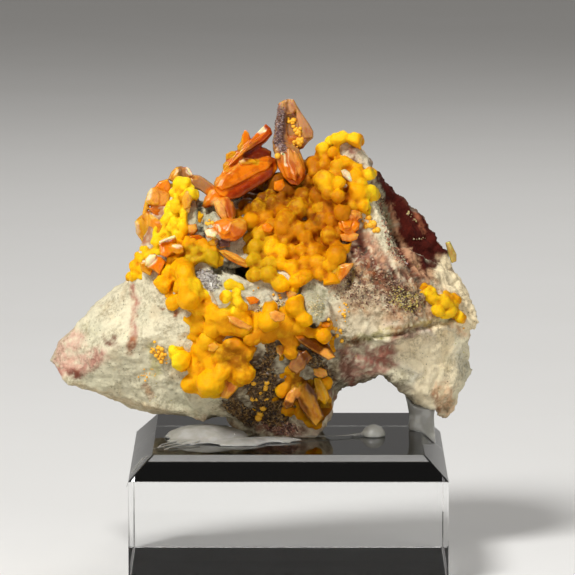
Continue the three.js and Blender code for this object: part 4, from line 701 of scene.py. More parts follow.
# Where the crystals change colour, painted highlights, painted light and painted shade among the tints: colour,
# strength, reach, softness, line.
CRYSTAL_TINTS = [
    # The main blade: orange over its upper part, partly its own colour and partly painted light; a painted highlight
    # line in peach along its upper edge, and a painted highlight lens in gold and cream.
    ("orange", 0.9, 0.96, 0.96, [(-10.6, 60.2), (-8.4, 61.8), (-6.1, 62.5), (-4.2, 63.6)]),
    ("peach", 0.85, 0.26, 0.4, [(-11.6, 60.2), (-10.6, 61.5), (-9.0, 62.6), (-7.6, 63.8)]),
    ("gold", 0.9, 0.38, 0.32, [(-7.4, 63.9), (-6.1, 64.0), (-5.2, 63.7)]),
    ("cream", 0.6, 0.19, 0.32, [(-7.7, 63.8), (-7.1, 64.1)]),
    ("orange", 0.9, 0.48, 0.48, [(-10.3, 62.0), (-8.4, 64.1), (-6.6, 65.7)]),
    ("orange", 0.6, 0.32, 0.48, [(-6.6, 65.7), (-4.2, 68.6)]),
    # A painted highlight on the upper blade, in cream.
    ("cream", 0.95, 0.27, 0.26, [(-4.8, 68.7), (-4.1, 69.0)]),
    ("red", 0.95, 0.54, 0.48, [(-6.5, 64.7), (-4.9, 65.2), (-3.3, 65.4)]),
    ("red", 0.7, 0.48, 0.64, [(-6.1, 66.0), (-4.2, 66.3)]),
    ("orange", 0.8, 0.48, 0.48, [(-6.9, 68.3), (-6.9, 66.7)]),
    ("gold", 0.8, 0.26, 0.32, [(-7.7, 67.6), (-7.6, 65.7)]),
    ("gold", 0.85, 0.48, 0.48, [(-9.8, 64.9), (-9.0, 65.0)]),
    ("gold", 0.8, 0.38, 0.38, [(-10.1, 63.6), (-10.0, 62.8)]),
    # Red along the main blade's lower edge, partly its own colour and partly painted shade.
    ("red", 0.75, 0.48, 0.72, [(-8.1, 58.0), (-5.8, 59.2), (-4.2, 60.2), (-2.3, 61.8)]),
    ("red", 0.6, 0.48, 0.48, [(-2.6, 63.8), (-2.1, 62.1)]),
    ("orange", 1, 0.8, 0.64, [(-13.2, 57.2), (-12.4, 58.3), (-10.9, 58.8)]),
    ("peach", 0.7, 0.22, 0.32, [(-13.5, 56.8), (-13.0, 58.0), (-12.2, 58.9)]),
    # The pendants in apricot: peach, brightened as painted light where the fan above shades them.
    ("lit_apricot", 1, 0.64, 0.38, [(-11.4, 57.0), (-10.8, 55.7), (-10.4, 54.3)]),
    ("orange", 0.8, 0.16, 0.26, [(-10.0, 57.6), (-9.3, 54.4)]),
    ("deep", 0.7, 0.38, 0.48, [(-9.5, 57.3), (-9.0, 55.4)]),
    ("cream", 1, 0.42, 0.32, [(-12.8, 52.2), (-12.0, 52.4), (-11.4, 51.8)]),
    ("orange", 0.9, 0.64, 0.8, [(-11.4, 53.5), (-10.0, 53.8), (-10.1, 52.3)]),
    ("honey", 0.8, 0.54, 0.64, [(-8.1, 54.1), (-6.9, 53.6)]),
    ("cream", 0.7, 0.16, 0.16, [(-11.1, 53.3), (-10.8, 52.8)]),
    ("gold", 0.8, 0.48, 0.48, [(-12.2, 50.9), (-11.6, 50.9)]),
    ("violet", 0.9, 0.56, 0.48, [(-10.8, 50.6), (-9.6, 50.4)]),
    ("honey", 0.8, 0.48, 0.64, [(-10.6, 49.1), (-7.7, 48.3), (-6.1, 47.2)]),
    ("peach", 0.8, 0.19, 0.22, [(-10.3, 49.3), (-8.4, 48.6), (-6.8, 47.7)]),
    ("orange", 0.85, 0.8, 0.64, [(-20.5, 59.9), (-19.4, 59.7)]),
    ("peach", 0.9, 0.64, 0.64, [(-21.1, 58.3), (-19.9, 57.5)]),
    ("cream", 0.8, 0.19, 0.32, [(-21.9, 58.9), (-22.3, 57.6)]),
    ("deep", 0.75, 0.54, 0.48, [(-21.6, 56.0), (-20.5, 55.9), (-19.5, 56.2)]),
    ("amber", 0.7, 0.48, 0.48, [(-20.8, 55.4), (-19.9, 55.4)]),
    ("cream", 0.7, 0.08, 0.16, [(-21.8, 55.5), (-20.8, 54.8), (-19.9, 53.8)]),
    ("orange", 0.7, 0.64, 0.64, [(-21.1, 53.5), (-20.8, 52.2)]),
    ("gold", 0.6, 0.58, 0.48, [(-23.7, 54.1), (-23.4, 52.5), (-22.6, 50.9)]),
    ("cream", 0.6, 0.22, 0.32, [(-24.2, 53.8), (-23.9, 52.5)]),
    ("cream", 0.75, 0.42, 0.42, [(-22.9, 49.7), (-21.9, 49.7)]),
    # A painted highlight along the tablet's top edge, in cream.
    ("cream", 1, 0.24, 0.19, [(-20.3, 50.8), (-19.2, 51.3), (-17.9, 51.7)]),
    ("gold", 0.6, 0.8, 0.38, [(-17.9, 49.7), (-16.8, 49.7)]),
    ("cream", 0.9, 0.16, 0.22, [(-18.1, 50.2), (-17.1, 50.1)]),
    # A painted highlight on a lower-left plate, in cream.
    ("cream", 1, 0.58, 0.42, [(-22.3, 47.7), (-21.6, 48.3)]),
    ("orange", 0.8, 0.54, 0.48, [(-20.3, 47.2), (-20.5, 46.0)]),
    ("gold", 0.7, 0.48, 0.48, [(-23.1, 47.0), (-22.1, 46.0)]),
    # A painted highlight on the peak's pale crystal edge, in cream.
    ("cream", 1, 0.27, 0.24, [(-16.0, 62.7), (-15.3, 61.7)]),
    ("honey", 0.9, 0.54, 0.48, [(-18.7, 61.2), (-17.9, 62.3)]),
    ("cognac", 0.7, 0.19, 0.26, [(-17.3, 62.6), (-17.1, 61.3)]),
    ("peach", 0.6, 0.26, 0.32, [(-15.7, 61.2), (-14.8, 61.3)]),
    ("violet", 0.85, 0.42, 0.38, [(-0.9, 71.5), (-1.0, 69.6), (-1.3, 67.6), (-0.9, 66.3)]),
    ("cognac", 0.7, 0.29, 0.32, [(-1.6, 72.1), (-1.7, 70.2)]),
    ("rosy", 0.95, 0.96, 0.48, [(-0.9, 72.9), (0.7, 72.9)]),
    ("cognac", 0.6, 0.11, 0.16, [(-0.2, 73.4), (-0.1, 71.8)]),
    ("rosy", 0.9, 0.96, 0.48, [(1.7, 71.5), (3.0, 69.2), (3.3, 67.9)]),
    ("amber", 0.6, 0.48, 0.64, [(0.6, 67.3), (1.8, 66.8)]),
    ("orange", 1, 1.12, 0.96, [(-0.7, 62.1), (0.6, 61.2), (2.0, 62.5)]),
    ("amber", 0.6, 1.28, 0.8, [(-0.4, 64.1), (0.2, 61.5), (1.8, 62.1)]),
    ("deep", 0.6, 0.48, 0.64, [(-0.1, 60.4), (1.5, 60.2), (2.3, 61.2)]),
    ("peach", 0.7, 0.26, 0.38, [(0.6, 65.0), (1.4, 63.1), (1.4, 61.8)]),
    # Painted highlights: two cream streaks down the claw.
    ("cream", 0.9, 0.1, 0.13, [(-1.1, 65.5), (-0.6, 64.4), (-0.2, 63.1)]),
    ("cream", 0.5, 0.03, 0.08, [(-0.1, 65.4), (0.2, 63.4), (0.7, 61.5)]),
    ("honey", 0.7, 0.32, 0.32, [(1.8, 64.7), (2.3, 63.1)]),
    ("peach", 0.9, 0.56, 0.4, [(9.3, 55.2), (11.1, 55.4)]),
    ("peach", 0.9, 0.32, 0.32, [(8.5, 51.3), (10.9, 51.9)]),
    ("gold", 0.9, 0.8, 0.48, [(7.1, 47.0), (7.3, 46.0)]),
    ("orange", 0.6, 0.48, 0.64, [(8.2, 45.4), (8.7, 46.0)]),
    ("orange", 0.8, 0.58, 0.8, [(0.6, 36.1), (1.8, 36.4)]),
    ("peach", 0.9, 0.48, 0.48, [(5.7, 33.2), (7.0, 31.9)]),
    ("tan", 0.5, 0.64, 0.64, [(1.0, 32.4), (1.8, 30.8)]),
    ("beige", 0.5, 0.32, 0.48, [(0.4, 30.9), (1.8, 30.3)]),
    ("deep", 0.7, 0.42, 0.48, [(-9.3, 28.3), (-9.0, 27.4)]),
    ("gold", 0.9, 0.8, 0.32, [(-7.6, 30.6), (-6.5, 30.5)]),
    ("deep", 0.9, 0.8, 0.48, [(-8.4, 33.3), (-7.4, 34.0)]),
    ("peach", 0.9, 0.64, 0.48, [(0.1, 26.1), (1.0, 27.0)]),
    ("gold", 0.8, 0.8, 0.48, [(5.0, 28.3), (5.8, 25.8)]),
    ("honey", 0.5, 0.48, 0.64, [(2.0, 27.4), (3.8, 24.8), (4.7, 22.2)]),
]
# The colour that each group of crystals has under its tints.
CRYSTAL_BASES = {
    "wulfenite_fan": "deep",
    "wulfenite_pendants": "peach",
    "wulfenite_middle": "amber",
    "wulfenite_left": "honey",
    "wulfenite_peak": "tan",
    "wulfenite_spire": "tan",
    "wulfenite_tablet_1": "orange",
    "wulfenite_tablet_2": "orange",
    "wulfenite_tablet_3": "orange",
    "wulfenite_tablet_4": "peach",
    "wulfenite_tablet_5": "cognac",
    "wulfenite_tablet_6": "honey",
    "wulfenite_tablet_7": "straw",
    "wulfenite_tablet_8": "cognac",
}
CRYSTAL_COLOURS = {
    "deep": (0.44, 0.050, 0.001),
    "red": (0.17, 0.012, 0.001),
    "amber": (0.62, 0.13, 0.001),
    "orange": (0.82, 0.22, 0.002),
    "honey": (0.80, 0.38, 0.03),
    "peach": (0.82, 0.36, 0.06),
    # Cream: pale crystal, also laid as painted highlights.
    "cream": (0.92, 0.76, 0.46),
    "tan": (0.44, 0.21, 0.075),
    "rosy": (0.60, 0.30, 0.13),
    # Apricot: peach brightened as painted light, for the shaded pendants.
    "lit_apricot": (0.98, 0.48, 0.12),
    "beige": (0.40, 0.19, 0.06),
    "gold": (0.66, 0.34, 0.004),
    "straw": (0.62, 0.50, 0.14),
    "cognac": (0.12, 0.030, 0.001),
    "violet": (0.11, 0.055, 0.052),
}
# What tints the crystals in their finish: veins, a painted highlight along thin rims, and flaws.
VEIN = (0.66, 0.40, 0.25)
RIM_HIGHLIGHT = (0.32, 0.15, 0.012)
FLAW = (0.28, 0.14, 0.015)

# Drusy grains: host, tint, number, size range, reach and line.
DRUSES = [
    ("rock", "brown", 420, (0.16, 0.38), 0.9, [(-3.3, 35.9), (-2.6, 33.5), (-3.3, 31.6)]),
    ("rock", "brown", 2600, (0.18, 0.5), 2.3, [(-4.2, 29.9), (-4.2, 27.4), (-3.3, 24.8), (-2.0, 23.2)]),
    ("rock", "brown", 700, (0.16, 0.4), 1.3, [(-9.3, 25.0), (-7.7, 23.7), (-5.8, 22.2)]),
    ("rock", "brown", 260, (0.14, 0.34), 1.0, [(-9.0, 34.6), (-6.9, 33.5)]),
    ("rock", "brown", 320, (0.14, 0.36), 1.0, [(-0.7, 34.5), (1.5, 33.3)]),
    ("rock", "brown", 420, (0.14, 0.36), 1.1, [(3.3, 32.7), (4.7, 31.2), (6.3, 28.7)]),
    ("rock", "plum", 420, (0.14, 0.34), 1.1, [(-3.3, 21.6), (0.9, 20.6)]),
    ("rock", "grey", 330, (0.2, 0.62), 1.4, [(-14.8, 45.4), (-12.8, 44.9), (-11.9, 44.1)]),
    ("rock", "mixed", 260, (0.12, 0.3), 1.0, [(-18.6, 48.3), (-16.0, 47.7)]),
    ("rock", "slope", 500, (0.1, 0.26), 3.2, [(9.0, 47.7), (13.8, 44.0), (18.6, 41.1)]),
    ("rock", "slope", 300, (0.1, 0.26), 1.9, [(7.4, 43.8), (13.0, 41.5)]),
    ("rock", "mixed", 420, (0.14, 0.3), 1.6, [(16.8, 42.3), (20.0, 40.9)]),
    ("rock", "mixed", 200, (0.1, 0.24), 0.8, [(8.9, 47.7), (10.1, 46.4), (9.5, 43.5)]),
    ("rock", "mixed", 260, (0.12, 0.26), 1.0, [(-5.8, 39.6), (-2.0, 40.6), (1.8, 40.2)]),
    ("rock", "cream", 160, (0.1, 0.22), 1.3, [(4.7, 41.5), (3.8, 38.6)]),
    ("rock", "ridge", 420, (0.1, 0.3), 0.8, [(14.0, 59.2), (15.6, 53.6), (16.5, 49.6), (18.4, 47.7)]),
    ("rock", "cream", 12, (0.14, 0.32), 0.3, [(19.1, 55.7), (20.2, 54.1)]),
    ("rock", "cream", 8, (0.14, 0.28), 0.2, [(20.0, 51.4), (22.3, 51.4)]),
    ("crystals_spire", "violet", 900, (0.08, 0.24), 0.7, [(-1.2, 72.4), (-1.5, 69.7), (-1.7, 67.0),
     (-0.7, 65.5)]),
]
DRUSE_COLOURS = {
    "brown": [(0.16, 0.085, 0.022), (0.07, 0.034, 0.010), (0.30, 0.18, 0.055), (0.03, 0.016, 0.008)],
    "plum": [(0.26, 0.11, 0.07), (0.12, 0.045, 0.03), (0.40, 0.24, 0.15), (0.05, 0.02, 0.015)],
    "slope": [(0.34, 0.19, 0.10), (0.22, 0.09, 0.05), (0.46, 0.31, 0.17), (0.12, 0.04, 0.03),
     (0.60, 0.44, 0.27)],
    "grey": [(0.40, 0.37, 0.33), (0.30, 0.27, 0.24), (0.50, 0.47, 0.41), (0.22, 0.19, 0.17)],
    "mixed": [(0.46, 0.38, 0.18), (0.08, 0.04, 0.025), (0.56, 0.44, 0.10), (0.26, 0.16, 0.07)],
    "cream": [(0.74, 0.62, 0.36), (0.60, 0.50, 0.22), (0.40, 0.30, 0.14)],
    "ridge": [(0.66, 0.54, 0.35), (0.40, 0.39, 0.25), (0.46, 0.19, 0.11), (0.20, 0.09, 0.06)],
    "violet": [(0.20, 0.11, 0.11), (0.09, 0.045, 0.045), (0.42, 0.32, 0.30), (0.32, 0.17, 0.10)],
}
GRAIN_CLOUD = (0.75, 0.66, 0.50)
# Fine mimetite balls off the crusts: host, number, radii, reach and line.
SPRINKLES = [
    ("rock", 44, (0.08, 0.4), 0.9, [(-21.4, 34.6), (-20.4, 32.8), (-19.4, 32.2)]),
    ("rock", 16, (0.07, 0.2), 1.0, [(-23.6, 28.8), (-21.0, 30.6)]),
    ("rock", 16, (0.14, 0.5), 1.3, [(-6.0, 27.6), (-2.4, 24.6)]),
    ("rock", 5, (0.16, 0.42), 0.6, [(-12.4, 54.2), (-12.2, 52.6)]),
    ("rock", 16, (0.1, 0.5), 1.2, [(-6.4, 42.4), (-1.0, 42.6), (1.4, 41.8)]),
    ("rock", 12, (0.12, 0.5), 1.0, [(6.6, 38.4), (8.4, 35.4)]),
    ("rock", 26, (0.14, 0.6), 0.8, [(12.2, 54.6), (13.6, 52.4)]),
    ("rock", 20, (0.12, 0.5), 1.4, [(20.6, 43.4), (26.8, 39.6), (28.6, 37.4)]),
    ("rock", 14, (0.12, 0.34), 1.0, [(8.6, 40.6), (9.2, 38.6)]),
    ("crystals_spire", 64, (0.16, 0.4), 0.6, [(0.4, 70.8), (1.0, 69.6), (2.0, 67.8), (1.2, 66.3)]),
    ("crystals_spire", 1, (0.5, 0.55), 0.1, [(-1.8, 64.5), (-1.8, 64.6)]),
    ("rock", 9, (0.25, 0.5), 0.7, [(-4.2, 28.2), (-3.0, 27.6)]),
    ("rock", 7, (0.3, 0.7), 0.6, [(-4.6, 24.4), (-4.4, 22.8)]),
]
# The line that each drawn thread of glue follows: x, y and z.
GLUE_THREADS = [
    [(-16.0, -9.0, 20.6), (-20.0, -12.6, 20.2), (-23.4, -16.0, 18.2), (-24.6, -18.6, 15.6)],
    [(-15.0, -10.0, 20.6), (-20.6, -14.4, 20.0), (-24.4, -17.6, 17.2), (-25.4, -19.6, 14.6)],
    [(-14.0, -11.0, 20.5), (-18.6, -15.4, 20.2), (-22.4, -19.0, 19.2), (-24.8, -21.0, 16.8)],
    [(11.4, -3.4, 20.4), (8.0, -4.6, 20.3), (4.0, -5.4, 20.4), (1.0, -6.6, 20.6)],
]
GLUE_CLEAR = (0.58, 0.57, 0.51)
GLUE_MILKY = (0.72, 0.71, 0.68)
ACRYLIC = (0.985, 0.99, 0.99)
SMUDGE = (0.95, 0.96, 0.96)
PAPER_GRAIN = (0.82, 0.81, 0.79)


# ---- Properties ----


class RockSettings(bpy.types.PropertyGroup):
    """The matrix rock."""

    skin: FloatProperty(name="Skin", description="Spacing of the rock's skin, in millimetres", default=0.33)
    relief: FloatProperty(
        name="Relief", description="Height of the fine relief", default=1.0, subtype="FACTOR"
    )
    cream: FloatVectorProperty(
        name="Cream",
        description="Colour of clean rock",
        default=STONE_COLOURS["cream"],
        subtype="COLOR",
        size=3,
    )


class MimetiteSettings(bpy.types.PropertyGroup):
    """The mimetite crusts."""

    skin: FloatProperty(name="Skin", description="Spacing of a crust's skin, in millimetres", default=0.21)
    size: FloatProperty(
        name="Ball size", description="Size of the seeded balls", default=1.0, subtype="FACTOR"
    )
    spacing: FloatProperty(
        name="Spacing",
        description="Least distance of two balls, as a share of their radii added up",
        default=0.56,
        subtype="FACTOR",
    )
    gold: FloatVectorProperty(
        name="Gold",
        description="Colour of most balls",
        default=BALL_COLOURS["gold"],
        subtype="COLOR",
        size=3,
    )


class WulfeniteSettings(bpy.types.PropertyGroup):
    """The wulfenite crystals."""

    skin: FloatProperty(name="Skin", description="Spacing of a crystal's skin, in millimetres", default=0.12)
    layer: FloatProperty(
        name="Layer", description="Thickness of a growth layer, in millimetres", default=0.34
    )
    step: FloatProperty(
        name="Step", description="How far a layer stands in or out, in millimetres", default=0.14
    )


class DruseSettings(bpy.types.PropertyGroup):
    """The drusy grains and sprinkled balls."""

    seed: IntProperty(name="Seed", description="Which scatter of grains is made", default=4)


class GlueSettings(bpy.types.PropertyGroup):
    """The hot glue."""

    skin: FloatProperty(name="Skin", description="Spacing of the glue's skin, in millimetres", default=0.22)
    thread: FloatProperty(
        name="Thread", description="Radius of a drawn thread, in millimetres", default=0.09
    )


class StageSettings(bpy.types.PropertyGroup):
    """Floor, lights and camera."""

    floor: FloatVectorProperty(
        name="Floor",
        description="Colour of the floor",
        default=(0.78, 0.77, 0.74),
        subtype="COLOR",
        size=3,
    )
    key: FloatProperty(
        name="Key light", description="Power of the key light", default=5.4, subtype="POWER"
    )
    lens: FloatProperty(
        name="Lens", description="Focal length of the camera", default=354.2, subtype="DISTANCE_CAMERA"
    )


# ---- Shader maths ----


class Term:
    """A node's output that takes part in Python arithmetic."""

    def __init__(self, finish, socket):
        self.finish = finish
        self.socket = socket

    def maths(self, operation, first, second):
        """A Math node's output."""
        return self.finish.node("ShaderNodeMath", {"operation": operation}, {0: first, 1: second})

    def __add__(self, other):
        return self.maths("ADD", self, other)

    __radd__ = __add__

    def __sub__(self, other):
        return self.maths("SUBTRACT", self, other)

    def __rsub__(self, other):
        return self.maths("SUBTRACT", other, self)

    def __mul__(self, other):
        return self.maths("MULTIPLY", self, other)

    __rmul__ = __mul__


class Finish:
    """A material in the making: every node goes through node(), and arithmetic on Terms adds Math nodes."""

    def __init__(self, name):
        self.material = bpy.data.materials.new(name)
        self.material.use_nodes = True
        self.tree = self.material.node_tree
        self.shader = self.tree.nodes["Principled BSDF"]

    def node(self, kind, settings=None, inputs=None, output=0):
        """Adds a node with its settings and inputs, and gives one of its outputs."""
        made = self.tree.nodes.new(kind)
        for name, value in (settings or {}).items():
            setattr(made, name, value)
        self.fill(made, inputs or {})
        return Term(self, made.outputs[output])

    def fill(self, node, inputs):
        """Links or sets sockets by name or number."""
        for name, value in inputs.items():
            if isinstance(value, Term):
                self.tree.links.new(value.socket, node.inputs[name])
            elif isinstance(value, tuple) and node.inputs[name].type == "RGBA":
                node.inputs[name].default_value = (*value, 1)
            else:
                node.inputs[name].default_value = value

    def surface(self, inputs):
        """Sets the shader's sockets and returns the material."""
        self.fill(self.shader, inputs)
        return self.material

    def place(self):
        """Where a point is on its piece, in millimetres."""
        spot = self.node("ShaderNodeTexCoord", output="Object")
        return self.node("ShaderNodeVectorMath", {"operation": "SCALE"}, {0: spot, "Scale": 1 / MM})

    def attribute(self, name, output="Fac"):
        """What has been painted on a mesh."""
        return self.node("ShaderNodeAttribute", {"attribute_name": name}, output=output)

    def noise(self, place, size, detail=4.0, roughness=0.55):
        """Soft noise about 0.5, with features of a size in millimetres."""
        sockets = {"Vector": place, "Scale": 1 / size, "Detail": detail, "Roughness": roughness}
        return self.node("ShaderNodeTexNoise", {}, sockets)

    def cells(self, place, size):
        """Distance to the nearest of scattered points, a size in millimetres apart."""
        return self.node("ShaderNodeTexVoronoi", {}, {"Vector": place, "Scale": 1 / size})

    def between(self, value, low, high):
        """0 at low and 1 at high, with soft ends."""
        sockets = {"Value": value, "From Min": low, "From Max": high}
        return self.node("ShaderNodeMapRange", {"interpolation_type": "SMOOTHSTEP"}, sockets)

    def mix(self, factor, first, second, blend="MIX"):
        """A colour between two."""
        settings = {"data_type": "RGBA", "blend_type": blend}
        return self.node("ShaderNodeMix", settings, {0: factor, 6: first, 7: second}, output=2)

    def bump(self, height, depth, strength):
        """A normal from a height, with its depth in millimetres."""
        sockets = {"Height": height, "Distance": depth * MM, "Strength": strength}
        return self.node("ShaderNodeBump", {}, sockets)


# ---- Meshes ----


def cad_solid(node):
    """A copy of a CAD node in millimetres."""
    bm = bmesh.new()
    bm.from_mesh(frame["nodes"][node].data)
    bmesh.ops.scale(bm, vec=(1 / MM,) * 3, verts=bm.verts)
    bmesh.ops.remove_doubles(bm, verts=bm.verts, dist=WELD)
    return bm


def meshed(bm, name="shape"):
    """A bmesh as a mesh of its own."""
    mesh = bpy.data.meshes.new(name)
    bm.to_mesh(mesh)
    bm.free()
    return mesh


def fused(bm, spacing):
    """One closed skin round everything in a bmesh."""
    scratch = bpy.data.objects.new("fusing", meshed(bm))
    bpy.context.collection.objects.link(scratch)
    remesh = scratch.modifiers.new("Skin", "REMESH")
    remesh.mode = "VOXEL"
    remesh.voxel_size = spacing
    depsgraph = bpy.context.evaluated_depsgraph_get()
    mesh = bpy.data.meshes.new_from_object(scratch.evaluated_get(depsgraph))
    bpy.data.objects.remove(scratch)
    return mesh


def points_of(mesh):
    """The places of a mesh's vertices, a row each."""
    points = np.empty(len(mesh.vertices) * 3)
    mesh.vertices.foreach_get("co", points)
    return points.reshape(-1, 3)


def normals_of(mesh):
    """The normals of a mesh's vertices, a row each."""
    normals = np.empty(len(mesh.vertices) * 3)
    mesh.vertices.foreach_get("normal", normals)
    return normals.reshape(-1, 3)


def move_points(mesh, points):
    """Puts a mesh's vertices in new places."""
    mesh.vertices.foreach_set("co", points.ravel())
    mesh.update()


def neighbour_means(mesh, values):
    """The mean of each vertex's neighbours, for an array with a row a vertex."""
    ends = np.empty(len(mesh.edges) * 2, int)
    mesh.edges.foreach_get("vertices", ends)
    first, second = ends.reshape(-1, 2).T
    count = np.bincount(ends, minlength=len(values)).astype(float)
    total = np.zeros_like(values)
    for axis in range(values.shape[1]):
        total[:, axis] += np.bincount(first, values[second, axis], len(values))
        total[:, axis] += np.bincount(second, values[first, axis], len(values))
    return total / count[:, None]


def relax(mesh, rounds, pull=0.5):
    """Draws each vertex towards the middle of its neighbours, round after round."""
    points = points_of(mesh)
    for _ in range(rounds):
        points += pull * (neighbour_means(mesh, points) - points)
    move_points(mesh, points)


NOISE_ORIGIN = 31.7  # keeps the origin off noise's own grid, where it is always 0
SOFT_NOISE = (0.8, 2.1)  # how fast its octaves weaken, and how much finer each is than the last
RIDGED_NOISE = (0.9, 2.1, 3, 1, 2)  # the same two, then octaves, offset and gain


def fractal(points, size, octaves=3, stretch=(1, 1, 1)):
    """Layered noise of about -1 to 1 for an array of points."""
    spots = points / (size * np.array(stretch)) + NOISE_ORIGIN
    return np.array([noise.fractal(spot, *SOFT_NOISE, octaves) for spot in map(Vector, spots)])


def on_planes(points):
    """[x, up] of an array of points."""
    return np.column_stack([points[:, 0], points[:, 2] + LEAN * points[:, 1]])


def wandered(points, reach, size, octaves, shift):
    """[x, up] of points, drawn aside by soft noise; the shift keeps across and up from moving alike."""
    aside = [fractal(points, size, octaves), fractal(points + shift, size, octaves)]
    return on_planes(points) + reach * np.column_stack(aside)


def smooth_step(values):
    """0 up to 0 and 1 from 1, with soft ends between."""
    values = np.clip(values, 0, 1)
    return values * values * (3 - 2 * values)


def away_from(flat, line):
    """How far each [x, up] of an array is from a line."""
    nearest = np.full(len(flat), np.inf)
    for start, end in zip(line, line[1:]):
        start, end = np.array(start), np.array(end)
        way = end - start
        share = np.clip((flat - start) @ way / (way @ way), 0, 1)
        nearest = np.minimum(nearest, np.linalg.norm(flat - start - share[:, None] * way, axis=1))
    return nearest


def along_line(flat, line, reach, soft):
    """1 where an array of [x, up] lies within reach of a line, falling to 0 over soft."""
    return smooth_step((reach + soft - away_from(flat, line)) / soft)


def stained(flat, base, strokes, colours):
    """A colour for each [x, up]: a base under strokes of colour, strength, reach, softness and line."""
    tint = np.tile(np.array(base, float), (len(flat), 1))
    for name, strength, reach, soft, line in strokes:
        amount = strength * along_line(flat, line, reach, soft)
        tint += amount[:, None] * (np.array(colours[name]) - tint)
    return tint


def paint(mesh, name, values):
    """Stores a number or colour for each vertex."""
    if values.ndim == 1:
        layer = mesh.attributes.new(name, "FLOAT", "POINT")
        layer.data.foreach_set("value", values)
    else:
        layer = mesh.attributes.new(name, "FLOAT_COLOR", "POINT")
        layer.data.foreach_set("color", np.column_stack([values, np.ones(len(values))]).ravel())


def add_piece(name, mesh, material, slot, replaced=()):
    """Adds a finished piece, turned to metres, on the specimen's one body."""
    mesh.transform(Matrix.Scale(MM, 4))
    mesh.materials.clear()
    mesh.materials.append(material)
    piece = bpy.data.objects.new(name, mesh)
    bpy.context.scene.collection.objects.link(piece)
    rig.ride(piece, "root")
    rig.slot(piece, slot)
    if replaced:
        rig.replaces(piece, *replaced)


def shade(mesh, smooth=True):
    """The mesh with all its faces shaded smooth or flat."""
    mesh.polygons.foreach_set("use_smooth", [smooth] * len(mesh.polygons))
    mesh.update()
    return mesh


def skin_tree(*names):
    """A search tree over finished pieces, in millimetres."""
    bm = bmesh.new()
    for name in names:
        bm.from_mesh(bpy.data.objects[name].data)
    bmesh.ops.scale(bm, vec=(1 / MM,) * 3, verts=bm.verts)
    tree = BVHTree.FromBMesh(bm)
    bm.free()
    return tree


def first_met(tree, x, up):
    """Where a line straight back along a leaning plane first meets a skin, and the normal there."""
    start = Vector((x, -FAR_OUT, up + LEAN * FAR_OUT))
    spot, normal, _, _ = tree.ray_cast(start, INWARDS)
    return spot, normal


def scattered(rng, line, reach):
    """A random [x, up] within reach of a line."""
    k = rng.randrange(len(line) - 1)
    share = rng.random()
    angle, away = rng.uniform(0, 2 * math.pi), reach * math.sqrt(rng.random())
    start, end = line[k], line[k + 1]
    return (
        start[0] + (end[0] - start[0]) * share + away * math.cos(angle),
        start[1] + (end[1] - start[1]) * share + away * math.sin(angle),
    )


def drawn_size(rng, least, most, bias):
    """A random size between two: all alike at a bias of 1, and small ones more often above it."""
    return least + (most - least) * rng.random() ** bias


# ---- Rock ----


# The way down the slope at the right, as [x, up], and the size of its ridges along, across and in depth.
DOWN_SLOPE = (0.436, -0.9)
RIDGE_SIZE = (4.4, 1.15, 1.8)
SLOPE_START = (8, 34)  # the slope lies right of and above this [x, up]
FRONT_EDGE = 0.35  # cosine to straight back at which the front has quite given way to the rear
EDGE_SOFT = 0.4  # how much of that cosine the change takes
LEDGE_SIZE = 7.0  # size of the noise that the rear's broken ledges are cut from
LEDGE_HEIGHT = 0.75
LEDGES = 3.2  # how many ledges there are in one unit of that noise
FOOT_RISE = 0.8  # height over the plinth at which the relief is whole
FOOT_GAP = 0.02  # least distance of the rock to the plinth


def slope_grain(points, flat):
    """Ridged noise drawn out down the slope at the right."""
    x, up = DOWN_SLOPE
    along = flat @ np.array([x, up]) / RIDGE_SIZE[0]
    across = flat @ np.array([-up, x]) / RIDGE_SIZE[1]
    spots = np.column_stack([along, across, points[:, 1] / RIDGE_SIZE[2]])
    return np.array([noise.ridged_multi_fractal(spot, *RIDGED_NOISE) for spot in map(Vector, spots)])


def rock_relief(points, front, grain, relief):
    """How far each point of the rock stands in or out: soft at the left, rough at the right."""
    flat = on_planes(points)
    right, high = (flat - SLOPE_START).T
    slope = front * smooth_step(right / 5) * smooth_step(high / 3)
    rough = 0.45 + 0.8 * smooth_step((flat[:, 0] + 2) / 8)
    swells = 0.34 * fractal(points, 3.6)
    lumps = rough * 0.34 * fractal(points, 1.5, 4)
    grit = 0.15 * fractal(points, 0.75, 3)
    ridges = slope * 0.55 * (grain - 1.1)
    ledge = LEDGES * fractal(points, LEDGE_SIZE, 3)
    ledges = (1 - front) * LEDGE_HEIGHT * (np.floor(ledge) + smooth_step(4 * (ledge % 1) - 3) - ledge)
    height = swells + lumps + grit + ridges + ledges
    wander = wandered(points, 0.25, 1.4, 2, 9)
    for depth, width, line in CRACKS:
        height -= front * depth * along_line(wander, line, width * 0.3, width)
    return relief * height


